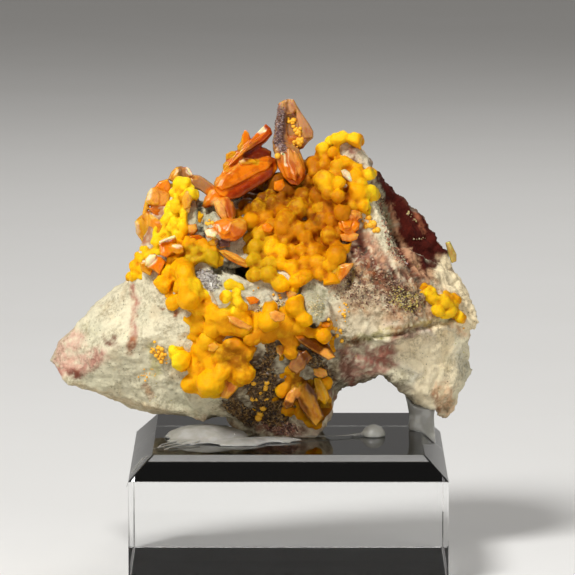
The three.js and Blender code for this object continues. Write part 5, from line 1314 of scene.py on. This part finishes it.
def rock_colours(points, front, grain, cream):
    """The colour of each point of the rock, with painted light and shade among its stains."""
    wander = wandered(points, 0.55, 1.6, 4, 17)
    tint = np.tile(np.array(cream, float), (len(points), 1))

    def stain_and_painted_light(name, share):
        """Lays a colour over the tint, with a share for each point."""
        tint[:] += share[:, None] * (np.array(STONE_COLOURS[name]) - tint)

    # Weathering all over.
    broad = fractal(points, 8, 3)
    patchy = fractal(points + 40, 3.4, 4)
    stain_and_painted_light("grey_green", 0.4 * smooth_step((broad - 0.05) / 0.7))
    stain_and_painted_light("tan", 0.3 * smooth_step((patchy - 0.25) / 0.6))
    # Broad patches at the rear.
    rear = 1 - front
    stain_and_painted_light("rose", 0.45 * rear * smooth_step((fractal(points + 70, 6, 4) - 0.15) / 0.5))
    stain_and_painted_light("umber", 0.5 * rear * smooth_step((fractal(points + 90, 5, 4) - 0.3) / 0.5))
    right_rear = rear * smooth_step((points[:, 0] - 8) / 6) * smooth_step((points[:, 2] - 40) / 6)
    stain_and_painted_light("oxblood", 0.75 * right_rear * smooth_step((patchy + 0.35) / 0.5))
    # The front's stains, painted light and shade among them, broken up into patches.
    fine = fractal(points + 55, 0.9, 4)
    mottle = np.clip(0.8 + 0.9 * fine, 0.1, 1)
    for name, strength, reach, soft, line in STAINS:
        patches = 1 if name in WHOLE_STAINS else mottle
        stain_and_painted_light(name, strength * front * patches * along_line(wander, line, reach, soft))
    # Streaks between and along the slope's ridges.
    slope = along_line(wander, SLOPE_LINE, 2.6, 2.0) * front
    stain_and_painted_light("plum", 0.8 * slope * smooth_step((0.95 - grain) / 0.3))
    stain_and_painted_light("salmon", 0.6 * slope * smooth_step((grain - 1.35) / 0.3))
    stain_and_painted_light("cream", 0.7 * slope * smooth_step((fine - 0.28) / 0.2))
    stain_and_painted_light("soot_and_shade", 0.8 * slope * smooth_step((-0.3 - fine) / 0.2))
    return tint


def rock_finish():
    """Chalky stone with grains, pits and specks."""
    finish = Finish("rock")
    place = finish.place()
    stain_and_painted_light = finish.attribute("stain_and_painted_light", "Color")
    fine = finish.noise(place, 0.5, 6.0, 0.7)
    broad = finish.noise(place, 2.6, 5.0, 0.6)
    rough = finish.between(finish.noise(place, 3.4, 4.0, 0.65), 0.42, 0.6)
    grit = finish.between(fine, 0.36, 0.66)
    shaded = finish.mix(grit * (0.18 + rough * 0.42), stain_and_painted_light, STONE_SHADE, "MULTIPLY")
    lit = finish.mix(finish.between(broad, 0.5, 0.72) * 0.5, shaded, STONE_LIGHT, "SOFT_LIGHT")
    grains = finish.cells(place, 0.55)
    pits = finish.between(grains, 0.2, 0.1) * finish.between(finish.noise(place, 3.0, 3.0), 0.5, 0.62)
    pitted = finish.mix(pits * 0.8, lit, PIT)
    specks = finish.between(finish.cells(place, 0.9), 0.16, 0.1)
    specks = specks * finish.between(finish.noise(place, 4.2, 2.0), 0.54, 0.62)
    colour = finish.mix(specks * 0.6, pitted, SPECK)
    height = fine * (0.35 + rough * 0.8) + finish.noise(place, 0.16, 3.0) * 0.3
    height = height - pits * 0.9 + grains * rough * 0.3
    return finish.surface(
        {
            "Base Color": colour,
            "Roughness": 0.78 + finish.noise(place, 0.8) * 0.3,
            "Normal": finish.bump(height, 0.26, 0.9),
            "Specular IOR Level": 0.18,
        }
    )


class SPECIMEN_OT_rock(bpy.types.Operator):
    """Builds the matrix rock with its cracks, ridges and stains, painted light and shade among them"""

    bl_idname = "specimen.rock"
    bl_label = "Rock"

    def execute(self, context):
        settings = context.scene.specimen_rock
        mesh = fused(cad_solid("matrix_rock"), settings.skin)
        relax(mesh, 2)
        points, normals = points_of(mesh), normals_of(mesh)
        facing = FRONT_EDGE - normals @ np.array(INWARDS)
        front = smooth_step(facing / EDGE_SOFT)
        # The front's colours end along an uneven edge.
        coloured = smooth_step((facing + 0.5 * fractal(points, 2.6, 4)) / EDGE_SOFT)
        grain = slope_grain(points, on_planes(points))
        height = rock_relief(points, front, grain, settings.relief)
        free = smooth_step((points[:, 2] - PLINTH_TOP - 0.05) / FOOT_RISE)
        points += normals * (height * free)[:, None]
        points[:, 2] = np.maximum(points[:, 2], PLINTH_TOP + FOOT_GAP)
        move_points(mesh, points)
        relax(mesh, 1, 0.3)
        paint(mesh, "stain_and_painted_light", rock_colours(points, coloured, grain, tuple(settings.cream)))
        add_piece("rock", shade(mesh), rock_finish(), "rock", ["matrix_rock"])
        return {"FINISHED"}


# ---- Mimetite ----


CRUST_SEED = 11
BARE_SHARE = 0.45  # how far a ball's middle keeps from bare rock, as a share of its radius
TRIES = 16  # balls tried for each square millimetre of a crust's skin
FILL_TRIES = 18  # balls tried for each millimetre of a fill, at a reach and least radius of 1
BALL_BIAS = 1.3  # how much more often small balls are drawn
SKIN_SINK = 0.78  # how far balls over a crust's skin are sunk, as a share of their radii
FILL_SINK = 0.1  # how much further than set balls those of a fill are sunk
FILL_GAP = 0.06  # how much wider the spacing is along a fill
OPEN_SPACE = 1.6  # balls grow on skin with no rock this near in front of it, in millimetres
CORE_INSET = 0.18  # how far a crust's solid draws back under its balls, in millimetres
LARGE_BALL = 1.2  # balls of a greater radius are made rounder
BARE_DEPTH = 2.2  # how far a crust is pushed back where the rock is bare, in millimetres
BARE_INSET = 0.4  # how far inside the bare rock's edge it is pushed back all the way
BARE_SOFT = 0.5  # over what distance the push falls off
NEAR_BALLS = 4  # how many balls are looked at to find the one that a point is on
LUMPS = [(0.26, 2.2, 2), (0.1, 0.8, 3)]  # height, size and octaves of a crust's own unevenness
CREASE_START = -0.002  # how hollow a crust is where the painted shade of a crease starts, in millimetres
CREASE_SPAN = 0.022  # how much hollower it is where that painted shade is whole


def clear_of(balls, candidates, spacing):
    """Balls, rows of [x, y, z, radius], then the candidates that cover no bare rock and no ball."""
    flat = on_planes(candidates[:, :3])
    bare = [away_from(flat, line) < reach + BARE_SHARE * candidates[:, 3] for reach, line in BARE_ROCK]
    for ball in candidates[~np.any(bare, axis=0)]:
        gaps = np.linalg.norm(balls[:, :3] - ball[:3], axis=1)
        if np.all(gaps > spacing * (balls[:, 3] + ball[3])):
            balls = np.vstack([balls, ball])
    return balls


def foremost(skins, x, up):
    """Where a line straight back first meets any of some skins, and the normal there."""
    met = [hit for hit in (first_met(skin, x, up) for skin in skins) if hit[0]]
    return min(met, key=lambda hit: hit[0].y, default=None)


def set_balls(node, skins, share):
    """The balls whose places are given, sunk by a share of their radii."""
    balls = []
    for x, up, radius, *sunk in CRUST_BALLS[node]:
        hit = foremost(skins, x, up)
        if hit:
            balls.append((*(hit[0] + INWARDS * radius * (sunk[0] if sunk else share)), radius))
    return np.array(balls).reshape(-1, 4)


def skin_balls(bm, rock, least, most, rng):
    """Candidates all over a crust's outer skin."""
    faces = [([Vector(v.co) for v in face.verts], Vector(face.normal)) for face in bm.faces]
    areas = [face.calc_area() for face in bm.faces]
    balls = []
    for corners, normal in rng.choices(faces, areas, k=int(sum(areas) * TRIES)):
        a, b = sorted((rng.random(), rng.random()))
        spot = corners[0] * a + corners[1] * (b - a) + corners[2] * (1 - b)
        radius = drawn_size(rng, least, most, BALL_BIAS)
        if not rock.ray_cast(spot, normal, OPEN_SPACE)[0]:
            balls.append((*(spot - normal * radius * SKIN_SINK), radius))
    return np.array(balls).reshape(-1, 4)


def fill_balls(skins, share, reach, least, most, line, rng):
    """Candidates near a line over whichever skin is in front, sunk by a share of their radii."""
    length = sum(math.dist(start, end) for start, end in zip(line, line[1:]))
    balls = []
    for _ in range(int(FILL_TRIES * reach * (length + 2 * reach) / least)):
        x, up = scattered(rng, line, reach)
        radius = drawn_size(rng, least, most, BALL_BIAS)
        hit = foremost(skins, x, up)
        if hit:
            balls.append((*(hit[0] - hit[1] * radius * share), radius))
    return np.array(balls).reshape(-1, 4)


def crust_balls(node, settings, rock, rng):
    """Balls over a crust: those set one by one, then seeded ones over its skin and along its fills."""
    bm = cad_solid(node)
    bmesh.ops.triangulate(bm, faces=bm.faces)
    skin = BVHTree.FromBMesh(bm)
    least, most, share, _ = CRUST_GROWTH[node]
    balls = set_balls(node, (skin, rock), share)
    for fill in CRUST_FILLS.get(node, []):
        filling = fill_balls((skin, rock), share + FILL_SINK, *fill, rng)
        balls = clear_of(balls, filling, settings.spacing + FILL_GAP)
    covering = skin_balls(bm, rock, least * settings.size, most * settings.size, rng)
    bm.free()
    return clear_of(balls, covering, settings.spacing)


def crust_mesh(node, balls, spacing):
    """Balls grown together over the crust's solid, melted into one another and sunk where rock is bare."""
    bm = cad_solid(node)
    bmesh.ops.recalc_face_normals(bm, faces=bm.faces)
    for vertex in bm.verts:
        vertex.co -= vertex.normal * CORE_INSET
    for x, y, z, radius in balls:
        rounds = 4 if radius > LARGE_BALL else 3
        place = Matrix.Translation((x, y, z))
        bmesh.ops.create_icosphere(bm, subdivisions=rounds, radius=radius, matrix=place)
    mesh = fused(bm, spacing)
    relax(mesh, CRUST_GROWTH[node][3])
    points = points_of(mesh)
    lumps = sum(height * fractal(points, size, octaves) for height, size, octaves in LUMPS)
    points += normals_of(mesh) * lumps[:, None]
    flat = on_planes(points)
    bare = [along_line(flat, line, reach - BARE_INSET, BARE_SOFT) for reach, line in BARE_ROCK]
    sunk = np.max(bare, axis=0)[:, None]
    move_points(mesh, points + sunk * np.array(INWARDS) * BARE_DEPTH)
    return mesh


def paint_balls(mesh, balls, gold, rng):
    """Paints the crust's colours, painted light and shade among them, and gives each ball its own tone and each hollow
    between balls its painted shade.
    """
    tree = KDTree(len(balls))
    for k, ball in enumerate(balls):
        tree.insert(ball[:3], k)
    tree.balance()
    tones = [rng.random() for _ in balls]
    points, normals = points_of(mesh), normals_of(mesh)
    near = (tree.find_n(point, NEAR_BALLS) for point in map(Vector, points))
    nearest = [min(hits, key=lambda hit: hit[2] - balls[hit[1], 3])[1] for hits in near]
    paint(mesh, "tone", np.array([tones[k] for k in nearest]))
    # Painted shade, deepest where the skin is most hollow between the balls.
    hollow = np.sum((neighbour_means(mesh, points) - points) * normals, axis=1)[:, None]
    for _ in range(3):
        hollow = neighbour_means(mesh, hollow)
    paint(mesh, "crease_shade", smooth_step((hollow[:, 0] - CREASE_START) / CREASE_SPAN))
    wander = wandered(points, 0.5, 1.8, 3, 21)
    paint(mesh, "stain_and_painted_light", stained(wander, gold, BALL_TINTS, BALL_COLOURS))


def mimetite_finish():
    """Waxy balls, with painted shade down in the hollows between them."""
    finish = Finish("mimetite")
    place = finish.place()
    stain_and_painted_light = finish.attribute("stain_and_painted_light", "Color")
    tone = finish.attribute("tone")
    mottle = finish.noise(place, 1.1, 4.0)
    ripeness = finish.between(tone * 0.7 + mottle * 0.6, 0.4, 0.95)
    riper = finish.mix(ripeness * 0.4, stain_and_painted_light, RIPE, "MULTIPLY")
    paler = finish.mix(finish.between(mottle + tone * 0.4, 0.7, 1.0) * 0.4, riper, PALE)
    # Painted shade in the hollows between balls.
    crease_shade = finish.attribute("crease_shade")
    base = finish.mix(crease_shade * 0.9, paler, CREASE_SHADE, "MULTIPLY")
    dust = finish.between(finish.noise(place, 0.34, 5.0, 0.7), 0.56, 0.78)
    colour = finish.mix(dust * 0.14, base, DUST)
    height = finish.noise(place, 0.3, 4.0) + finish.cells(place, 0.22) * 0.4
    return finish.surface(
        {
            "Base Color": colour,
            "Roughness": 0.42 + finish.noise(place, 0.6) * 0.2 + crease_shade * 0.2,
            "Normal": finish.bump(height, 0.03, 0.5),
            "Subsurface Weight": 0.55,
            "Subsurface Radius": (1.0, 0.42, 0.04),
            "Subsurface Scale": 0.9 * MM,
            "Specular IOR Level": 0.09,
        }
    )


class SPECIMEN_OT_mimetite(bpy.types.Operator):
    """Grows the mimetite crusts, ball by ball, over the rock"""

    bl_idname = "specimen.mimetite"
    bl_label = "Mimetite"

    def execute(self, context):
        settings = context.scene.specimen_mimetite
        rock = skin_tree("rock")
        material = mimetite_finish()
        for seed, node in enumerate(CRUST_BALLS, CRUST_SEED):
            rng = random.Random(seed)
            balls = crust_balls(node, settings, rock, rng)
            mesh = crust_mesh(node, balls, settings.skin)
            paint_balls(mesh, balls, tuple(settings.gold), rng)
            add_piece(node.replace("mimetite", "balls"), shade(mesh), material, "mimetite", [node])
        return {"FINISHED"}


# ---- Wulfenite ----


def loft(bm, rings):
    """Closes rings of points, one after another, into a solid."""
    made = [[bm.verts.new(point) for point in ring] for ring in rings]
    for lower, upper in zip(made, made[1:]):
        for k in range(len(lower)):
            after = (k + 1) % len(lower)
            bm.faces.new((lower[k], lower[after], upper[after], upper[k]))
    bm.faces.new(made[0][::-1])
    bm.faces.new(made[-1])


CRYSTAL_SEED = 3
LEAST_LAYERS = 3
RIM_SWING = (-0.7, 0.5)  # how far a layer's rim goes in or out, as a share of the settings' step
LAYER_RIM = (0.1, 0.9)  # where through its thickness a layer's upright rim starts and ends
GROWTH_LINES = 0.016  # height of the fine lines along a crystal's layers, in millimetres
FACE_WAVES = 0.03  # height of the waves in its faces
RIM_BEND = 0.012  # how far an edge stands out where its painted highlight is whole, in millimetres
PLATE_TILT = 0.12  # the most that a plate's face leans, as depth for each millimetre across
# A face's growth steps from its middle out: inset as a share of the plate's half width, and height.
TERRACES = [(0.72, 0.17), (0.66, 0.09), (0.34, 0.07), (0.18, 0.04), (0.0, -0.14)]


def outward(corners):
    """The direction out of an outline at each of its corners."""
    ahead = np.roll(corners, -1, axis=0) - np.roll(corners, 1, axis=0)
    sideways = np.column_stack([ahead[:, 1], -ahead[:, 0]])
    sideways /= np.linalg.norm(sideways, axis=1)[:, None]
    if np.sum(sideways * (corners - corners.mean(axis=0))) < 0:
        sideways = -sideways
    return sideways


def plate(bm, front, thick, fall, outline, settings, rng):
    """A plate of growth layers between bevelled, stepped faces, each layer's rim a little in or out."""
    corners = np.array(outline)
    middle, out = corners.mean(axis=0), outward(corners)
    half = np.sum((corners - middle) * out, axis=1).min()
    tilt = np.array([rng.uniform(-PLATE_TILT, PLATE_TILT) for _ in range(2)])

    def ring(inset, depth, tilted=0.0):
        """The outline drawn in by an inset, at a depth behind the front."""
        flat = corners - out * inset
        y = front + depth + (flat - middle) @ (np.array(fall) + tilt * tilted)
        return [Vector((x, back, up - LEAN * back)) for (x, up), back in zip(flat, y)]

    layers = max(LEAST_LAYERS, round(thick / settings.layer))
    rings = [ring(share * half, -height, share) for share, height in TERRACES]
    for k in range(1, layers - 1):
        inset = settings.step * rng.uniform(*RIM_SWING)
        rings += [ring(inset, thick * (k + share) / layers) for share in LAYER_RIM]
    rings += [ring(share * half, thick + height, share) for share, height in reversed(TERRACES)]
    loft(bm, rings)


def crystal_mesh(plates, settings, rng):
    """Plates grown into one another, rippled along their growth layers."""
    bm = bmesh.new()
    for front, thick, fall, outline in plates:
        plate(bm, front, thick, fall, outline, settings, rng)
    bmesh.ops.recalc_face_normals(bm, faces=bm.faces)
    mesh = fused(bm, settings.skin)
    relax(mesh, 1, 0.35)
    points, normals = points_of(mesh), normals_of(mesh)
    growth = GROWTH_LINES * fractal(points, 0.8, 3, (3, 0.4, 3))
    waves = FACE_WAVES * fractal(points, 1.3, 4)
    move_points(mesh, points + normals * (growth + waves)[:, None])
    return mesh


def paint_crystals(mesh, base):
    """Paints the crystals' colours, and marks their outward edges for a painted highlight."""
    points, normals = points_of(mesh), normals_of(mesh)
    bend = np.sum((points - neighbour_means(mesh, points)) * normals, axis=1)[:, None]
    for _ in range(2):
        bend = neighbour_means(mesh, bend)
    paint(mesh, "rim", smooth_step(bend[:, 0] / RIM_BEND))
    wander = wandered(points, 0.3, 1.2, 3, 21)
    # Colours with painted highlights, painted light and painted shade among them.
    paint(mesh, "stain_and_painted_light", stained(wander, base, CRYSTAL_TINTS, CRYSTAL_COLOURS))


def crystal_finish():
    """Resinous crystal, clearer and paler at its thin edges, as a painted highlight."""
    finish = Finish("wulfenite")
    place = finish.place()
    stain_and_painted_light = finish.attribute("stain_and_painted_light", "Color")
    veins = finish.noise(place, 1.5, 6.0, 0.62)
    flaws = finish.between(finish.noise(place, 0.6, 6.0, 0.75), 0.56, 0.72)
    dark = finish.mix(finish.between(veins, 0.54, 0.34) * 0.65, stain_and_painted_light, VEIN, "MULTIPLY")
    # Painted highlight along the outward edges.
    lit = finish.mix(finish.attribute("rim") * 0.45, dark, RIM_HIGHLIGHT, "SCREEN")
    colour = finish.mix(flaws * 0.28, lit, FLAW, "SCREEN")
    chips = finish.cells(place, 0.8)
    height = finish.noise(place, 0.45, 5.0) + chips * 0.8
    return finish.surface(
        {
            "Base Color": colour,
            "Roughness": 0.1 + finish.between(veins, 0.4, 0.8) * 0.2 + flaws * 0.12,
            "Normal": finish.bump(height, 0.07, 0.6),
            "Transmission Weight": 0.1,
            "Subsurface Weight": 0.6,
            "Subsurface Radius": (1.0, 0.3, 0.03),
            "Subsurface Scale": 1.4 * MM,
            "Specular IOR Level": 0.2,
            "IOR": 1.5,
        }
    )


class SPECIMEN_OT_wulfenite(bpy.types.Operator):
    """Grows the wulfenite plates, blades and spire layer by layer"""

    bl_idname = "specimen.wulfenite"
    bl_label = "Wulfenite"

    def execute(self, context):
        settings = context.scene.specimen_wulfenite
        material = crystal_finish()
        for seed, (node, plates) in enumerate(CRYSTALS.items(), CRYSTAL_SEED):
            mesh = crystal_mesh(plates, settings, random.Random(seed))
            paint_crystals(mesh, CRYSTAL_COLOURS[CRYSTAL_BASES[node]])
            add_piece(node.replace("wulfenite", "crystals"), shade(mesh), material, "wulfenite", [node])
        ground = skin_tree("rock", *(node.replace("mimetite", "balls") for node in CRUST_BALLS))
        for number, (colour, proud, thick, outline) in enumerate(LOOSE_CRYSTALS, 1):
            spot, _ = first_met(ground, *np.mean(outline, axis=0))
            plates = [(spot.y - proud, thick, (0.1, 0.2), outline)]
            mesh = crystal_mesh(plates, settings, random.Random(number))
            paint_crystals(mesh, CRYSTAL_COLOURS[colour])
            add_piece(f"crystals_loose_{number}", shade(mesh), material, "wulfenite")
        return {"FINISHED"}


# ---- Druse ----


# A grain is two four-sided points, base to base.
GRAIN_WAIST = 0.6
GRAIN_POINTS = np.array([(1, 0, 0), (0, 1, 0), (-1, 0, 0), (0, -1, 0), (0, 0, 1), (0, 0, -1)], float)
GRAIN_POINTS[:, :2] *= GRAIN_WAIST
GRAIN_FACES = [(0, 1, 4), (1, 2, 4), (2, 3, 4), (3, 0, 4), (1, 0, 5), (2, 1, 5), (3, 2, 5), (0, 3, 5)]
GRAIN_LENGTH = (0.7, 1.5)  # least and most, as a share of its size
GRAIN_TURN = 6.3  # the most that it is turned about each axis, in radians
GRAIN_BIAS = 2  # how much more often small grains are drawn
GRAIN_STANDS = 0.25  # how far a grain's middle stands off its host, as a share of its size
BALL_STANDS = 0.3  # the same for a fine ball, as a share of its radius


def grain_finish():
    """Small glassy grains, each of its own colour."""
    finish = Finish("druse")
    place = finish.place()
    tone = finish.attribute("tint", "Color")
    cloud = finish.noise(place, 0.12, 3.0)
    colour = finish.mix(finish.between(cloud, 0.45, 0.75) * 0.5, tone, GRAIN_CLOUD, "SOFT_LIGHT")
    return finish.surface(
        {
            "Base Color": colour,
            "Roughness": 0.25 + cloud * 0.35,
            "Normal": finish.bump(cloud, 0.02, 0.4),
            "IOR": 1.6,
        }
    )


class SPECIMEN_OT_druse(bpy.types.Operator):
    """Scatters drusy grains and sprinkles fine balls over the rock"""

    bl_idname = "specimen.druse"
    bl_label = "Druse"

    def execute(self, context):
        rng = random.Random(context.scene.specimen_druse.seed)
        hosts = {name: skin_tree(name) for name in ("rock", "crystals_spire")}
        self.scatter(rng, hosts)
        self.sprinkle(rng, hosts)
        return {"FINISHED"}

    def scatter(self, rng, hosts):
        """Adds the drusy grains, as one piece."""
        points, faces, tints = [], [], []
        for host, tint, number, (small, large), reach, line in DRUSES:
            for _ in range(number):
                spot, normal = first_met(hosts[host], *scattered(rng, line, reach))
                if not spot:
                    continue
                size = drawn_size(rng, small, large, GRAIN_BIAS)
                spin = Euler([rng.uniform(0, GRAIN_TURN) for _ in range(3)]).to_matrix()
                stretch = np.array([1, 1, rng.uniform(*GRAIN_LENGTH)])
                shape = np.array(spin) @ (GRAIN_POINTS * size * stretch).T
                faces += [[len(points) + k for k in face] for face in GRAIN_FACES]
                points += [spot + normal * size * GRAIN_STANDS + Vector(corner) for corner in shape.T]
                tints += [rng.choice(DRUSE_COLOURS[tint])] * len(GRAIN_POINTS)
        mesh = bpy.data.meshes.new("grains")
        mesh.from_pydata(points, [], faces)
        paint(mesh, "tint", np.array(tints))
        add_piece("druse_grains", shade(mesh, False), grain_finish(), "rock")

    def sprinkle(self, rng, hosts):
        """Adds the fine balls, as one piece in the mimetite's finish."""
        bm = bmesh.new()
        for host, number, (small, large), reach, line in SPRINKLES:
            for _ in range(number):
                spot, normal = first_met(hosts[host], *scattered(rng, line, reach))
                if not spot:
                    continue
                radius = drawn_size(rng, small, large, GRAIN_BIAS)
                place = Matrix.Translation(spot + normal * radius * BALL_STANDS)
                bmesh.ops.create_icosphere(bm, subdivisions=2, radius=radius, matrix=place)
        mesh = meshed(bm)
        paint(mesh, "tone", np.array([rng.random() for _ in mesh.vertices]))
        flat = on_planes(points_of(mesh))
        # The balls' colours, with their painted light and shade.
        paint(mesh, "stain_and_painted_light", stained(flat, BALL_COLOURS["gold"], BALL_TINTS, BALL_COLOURS))
        add_piece("balls_sprinkled", shade(mesh), bpy.data.materials["mimetite"], "mimetite")


# ---- Glue ----


THREAD_STEPS = 6  # rings in each stretch of a thread
THREAD_SIDES = 6
THREAD_END = 0.35  # width of a thread's end, as a share of the settings' radius
THREAD_TAPER = 0.9  # how much wider its start is than its end
GLUE_SOFTNESS = 8  # rounds of smoothing


def add_thread(bm, line, radius):
    """A drawn thread of glue through points, thinner towards its end."""
    points = []
    for start, end in zip(line, line[1:]):
        points += [Vector(start).lerp(Vector(end), step / THREAD_STEPS) for step in range(THREAD_STEPS)]
    points.append(Vector(line[-1]))
    rings = []
    for k, point in enumerate(points):
        ahead = (points[min(k + 1, len(points) - 1)] - points[max(k - 1, 0)]).normalized()
        side = ahead.cross(Vector((0, 0, 1))).normalized()
        over = side.cross(ahead)
        width = radius * (THREAD_END + THREAD_TAPER * (1 - k / len(points)))
        turns = [2 * math.pi * n / THREAD_SIDES for n in range(THREAD_SIDES)]
        rings.append([point + (side * math.cos(a) + over * math.sin(a)) * width for a in turns])
    loft(bm, rings)


def glue_finish():
    """Milky hot glue."""
    finish = Finish("glue")
    place = finish.place()
    cloud = finish.noise(place, 2.2, 4.0)
    colour = finish.mix(finish.between(cloud, 0.35, 0.7), GLUE_CLEAR, GLUE_MILKY)
    height = finish.noise(place, 1.2, 2.0)
    return finish.surface(
        {
            "Base Color": colour,
            "Roughness": 0.16 + cloud * 0.16,
            "Normal": finish.bump(height, 0.1, 0.4),
            "Transmission Weight": 0.5,
            "Subsurface Weight": 0.4,
            "Subsurface Radius": (1.0, 1.0, 1.1),
            "Subsurface Scale": 1.5 * MM,
            "IOR": 1.48,
        }
    )


class SPECIMEN_OT_glue(bpy.types.Operator):
    """Rounds off the hot glue and draws its threads"""

    bl_idname = "specimen.glue"
    bl_label = "Glue"

    def execute(self, context):
        settings = context.scene.specimen_glue
        material = glue_finish()
        for node in ("glue_smear", "glue_drop", "glue_post"):
            mesh = fused(cad_solid(node), settings.skin)
            relax(mesh, GLUE_SOFTNESS)
            add_piece(node.replace("glue_", "hot_glue_"), shade(mesh), material, "glue", [node])
        bm = bmesh.new()
        for line in GLUE_THREADS:
            add_thread(bm, line, settings.thread)
        bmesh.ops.recalc_face_normals(bm, faces=bm.faces)
        add_piece("hot_glue_threads", shade(meshed(bm)), material, "glue")
        return {"FINISHED"}


# ---- Plinth ----


EDGE_WIDTH = 0.22  # of the plinth's polished edges, in millimetres
EDGE_WELD = 0.01


class SPECIMEN_OT_plinth(bpy.types.Operator):
    """Polishes the clear plinth"""

    bl_idname = "specimen.plinth"
    bl_label = "Plinth"

    def execute(self, context):
        finish = Finish("acrylic")
        place = finish.place()
        smudge = finish.between(finish.noise(place, 9.0, 5.0), 0.52, 0.75)
        scuffs = finish.between(finish.noise(place, 0.7, 6.0, 0.75), 0.62, 0.8)
        material = finish.surface(
            {
                "Base Color": finish.mix(smudge * 0.5, ACRYLIC, SMUDGE),
                "Roughness": 0.02 + smudge * 0.05 + scuffs * 0.08,
                "Normal": finish.bump(finish.noise(place, 18.0, 2.0), 0.05, 0.12),
                "Transmission Weight": 1.0,
                "IOR": 1.49,
            }
        )
        plinth.data.materials.clear()
        plinth.data.materials.append(material)
        weld = plinth.modifiers.new("Closed", "WELD")
        weld.merge_threshold = EDGE_WELD * MM
        edge = plinth.modifiers.new("Edges", "BEVEL")
        edge.width = EDGE_WIDTH * MM
        edge.segments = 2
        edge.limit_method = "ANGLE"
        return {"FINISHED"}


# ---- Stage ----


# In metres: where each lamp is, how wide, and its power as a share of the key light's.
LAMPS = {
    "key": ((-0.26, -0.42, 0.58), 0.22, 1),
    "fill": ((0.5, -0.5, 0.3), 0.5, 0.17),
    "low": ((-0.5, -0.6, 0.06), 0.4, 0.07),
    "back": ((0.1, 0.5, 0.5), 0.4, 0.2),
}
LAMP_AIM = (0, 0, 0.045)
ROOM_COLOUR = (1.0, 0.97, 0.94, 1)
ROOM_STRENGTH = 0.19
CAMERA_PLACE = (-0.00015, -0.895, 0.16315)
CAMERA_AIM = (-0.00015, 0, 0.04355)
FLOOR_RADIUS = 3.0


def add_lamp(name, place, aim, size, power):
    """A round lamp turned towards a point."""
    lamp = bpy.data.lights.new(name, "AREA")
    lamp.shape = "DISK"
    lamp.size = size
    lamp.energy = power
    holder = bpy.data.objects.new(name, lamp)
    holder.location = place
    holder.rotation_euler = (Vector(aim) - Vector(place)).to_track_quat("-Z", "Y").to_euler()
    bpy.context.scene.collection.objects.link(holder)


class SPECIMEN_OT_stage(bpy.types.Operator):
    """Sets the floor, the soft lights and the camera"""

    bl_idname = "specimen.stage"
    bl_label = "Stage"

    def execute(self, context):
        settings = context.scene.specimen_stage
        bm = bmesh.new()
        bmesh.ops.create_circle(bm, cap_ends=True, segments=96, radius=FLOOR_RADIUS)
        floor = bpy.data.objects.new("floor", meshed(bm, "floor"))
        context.scene.collection.objects.link(floor)
        finish = Finish("floor")
        paper = finish.mix(finish.noise(finish.place(), 60.0, 3.0), tuple(settings.floor), PAPER_GRAIN)
        floor.data.materials.append(finish.surface({"Base Color": paper, "Roughness": 0.7}))
        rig.stage(floor)
        for name, (place, size, share) in LAMPS.items():
            add_lamp(name, place, LAMP_AIM, size, settings.key * share)
        world = bpy.data.worlds.new("room")
        context.scene.world = world
        world.use_nodes = True
        world.node_tree.nodes["Background"].inputs["Color"].default_value = ROOM_COLOUR
        world.node_tree.nodes["Background"].inputs["Strength"].default_value = ROOM_STRENGTH
        lens = bpy.data.cameras.new("camera")
        lens.sensor_width = 36
        lens.lens = settings.lens
        lens.clip_start, lens.clip_end = 0.01, 20
        camera = bpy.data.objects.new("camera", lens)
        camera.location = CAMERA_PLACE
        gaze = Vector(CAMERA_AIM) - camera.location
        camera.rotation_euler = gaze.to_track_quat("-Z", "Y").to_euler()
        context.scene.collection.objects.link(camera)
        context.scene.camera = camera
        context.scene.view_settings.view_transform = "Standard"
        return {"FINISHED"}


# ---- Add-on ----

OPERATORS = [
    SPECIMEN_OT_rock,
    SPECIMEN_OT_mimetite,
    SPECIMEN_OT_wulfenite,
    SPECIMEN_OT_druse,
    SPECIMEN_OT_glue,
    SPECIMEN_OT_plinth,
    SPECIMEN_OT_stage,
]
SETTINGS = {
    "specimen_rock": RockSettings,
    "specimen_mimetite": MimetiteSettings,
    "specimen_wulfenite": WulfeniteSettings,
    "specimen_druse": DruseSettings,
    "specimen_glue": GlueSettings,
    "specimen_stage": StageSettings,
}


class SPECIMEN_PT_panel(bpy.types.Panel):
    """Lists the specimen's pieces and their settings"""

    bl_idname = "SPECIMEN_PT_panel"
    bl_label = "Specimen"
    bl_space_type = "VIEW_3D"
    bl_region_type = "UI"
    bl_category = "Specimen"

    def draw(self, context):
        for operator in OPERATORS:
            column = self.layout.column(align=True)
            column.operator(operator.bl_idname)
            group = getattr(context.scene, operator.bl_idname.replace(".", "_"), None)
            for name in group.bl_rna.properties.keys() if group else []:
                if name not in ("rna_type", "name"):
                    column.prop(group, name)


def register():
    """Makes the settings, operators and panel known."""
    for kind in [*SETTINGS.values(), *OPERATORS, SPECIMEN_PT_panel]:
        bpy.utils.register_class(kind)
    for name, group in SETTINGS.items():
        setattr(bpy.types.Scene, name, PointerProperty(type=group))


def unregister():
    """Takes them away again."""
    for name in SETTINGS:
        delattr(bpy.types.Scene, name)
    for kind in [SPECIMEN_PT_panel, *OPERATORS[::-1], *list(SETTINGS.values())[::-1]]:
        bpy.utils.unregister_class(kind)


def main():
    """Builds the specimen and its stage, and writes down its size."""
    register()
    bpy.ops.specimen.rock()
    bpy.ops.specimen.mimetite()
    bpy.ops.specimen.wulfenite()
    bpy.ops.specimen.druse()
    bpy.ops.specimen.glue()
    bpy.ops.specimen.plinth()
    bpy.ops.specimen.stage()
    boxes = {"cad": cad_box, "visual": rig.bounds()}
    sizes = {name: [list(corner) for corner in box] for name, box in boxes.items()}
    with open("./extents.json", "w") as file:
        json.dump(sizes, file)


if __name__ == "__main__":
    main()
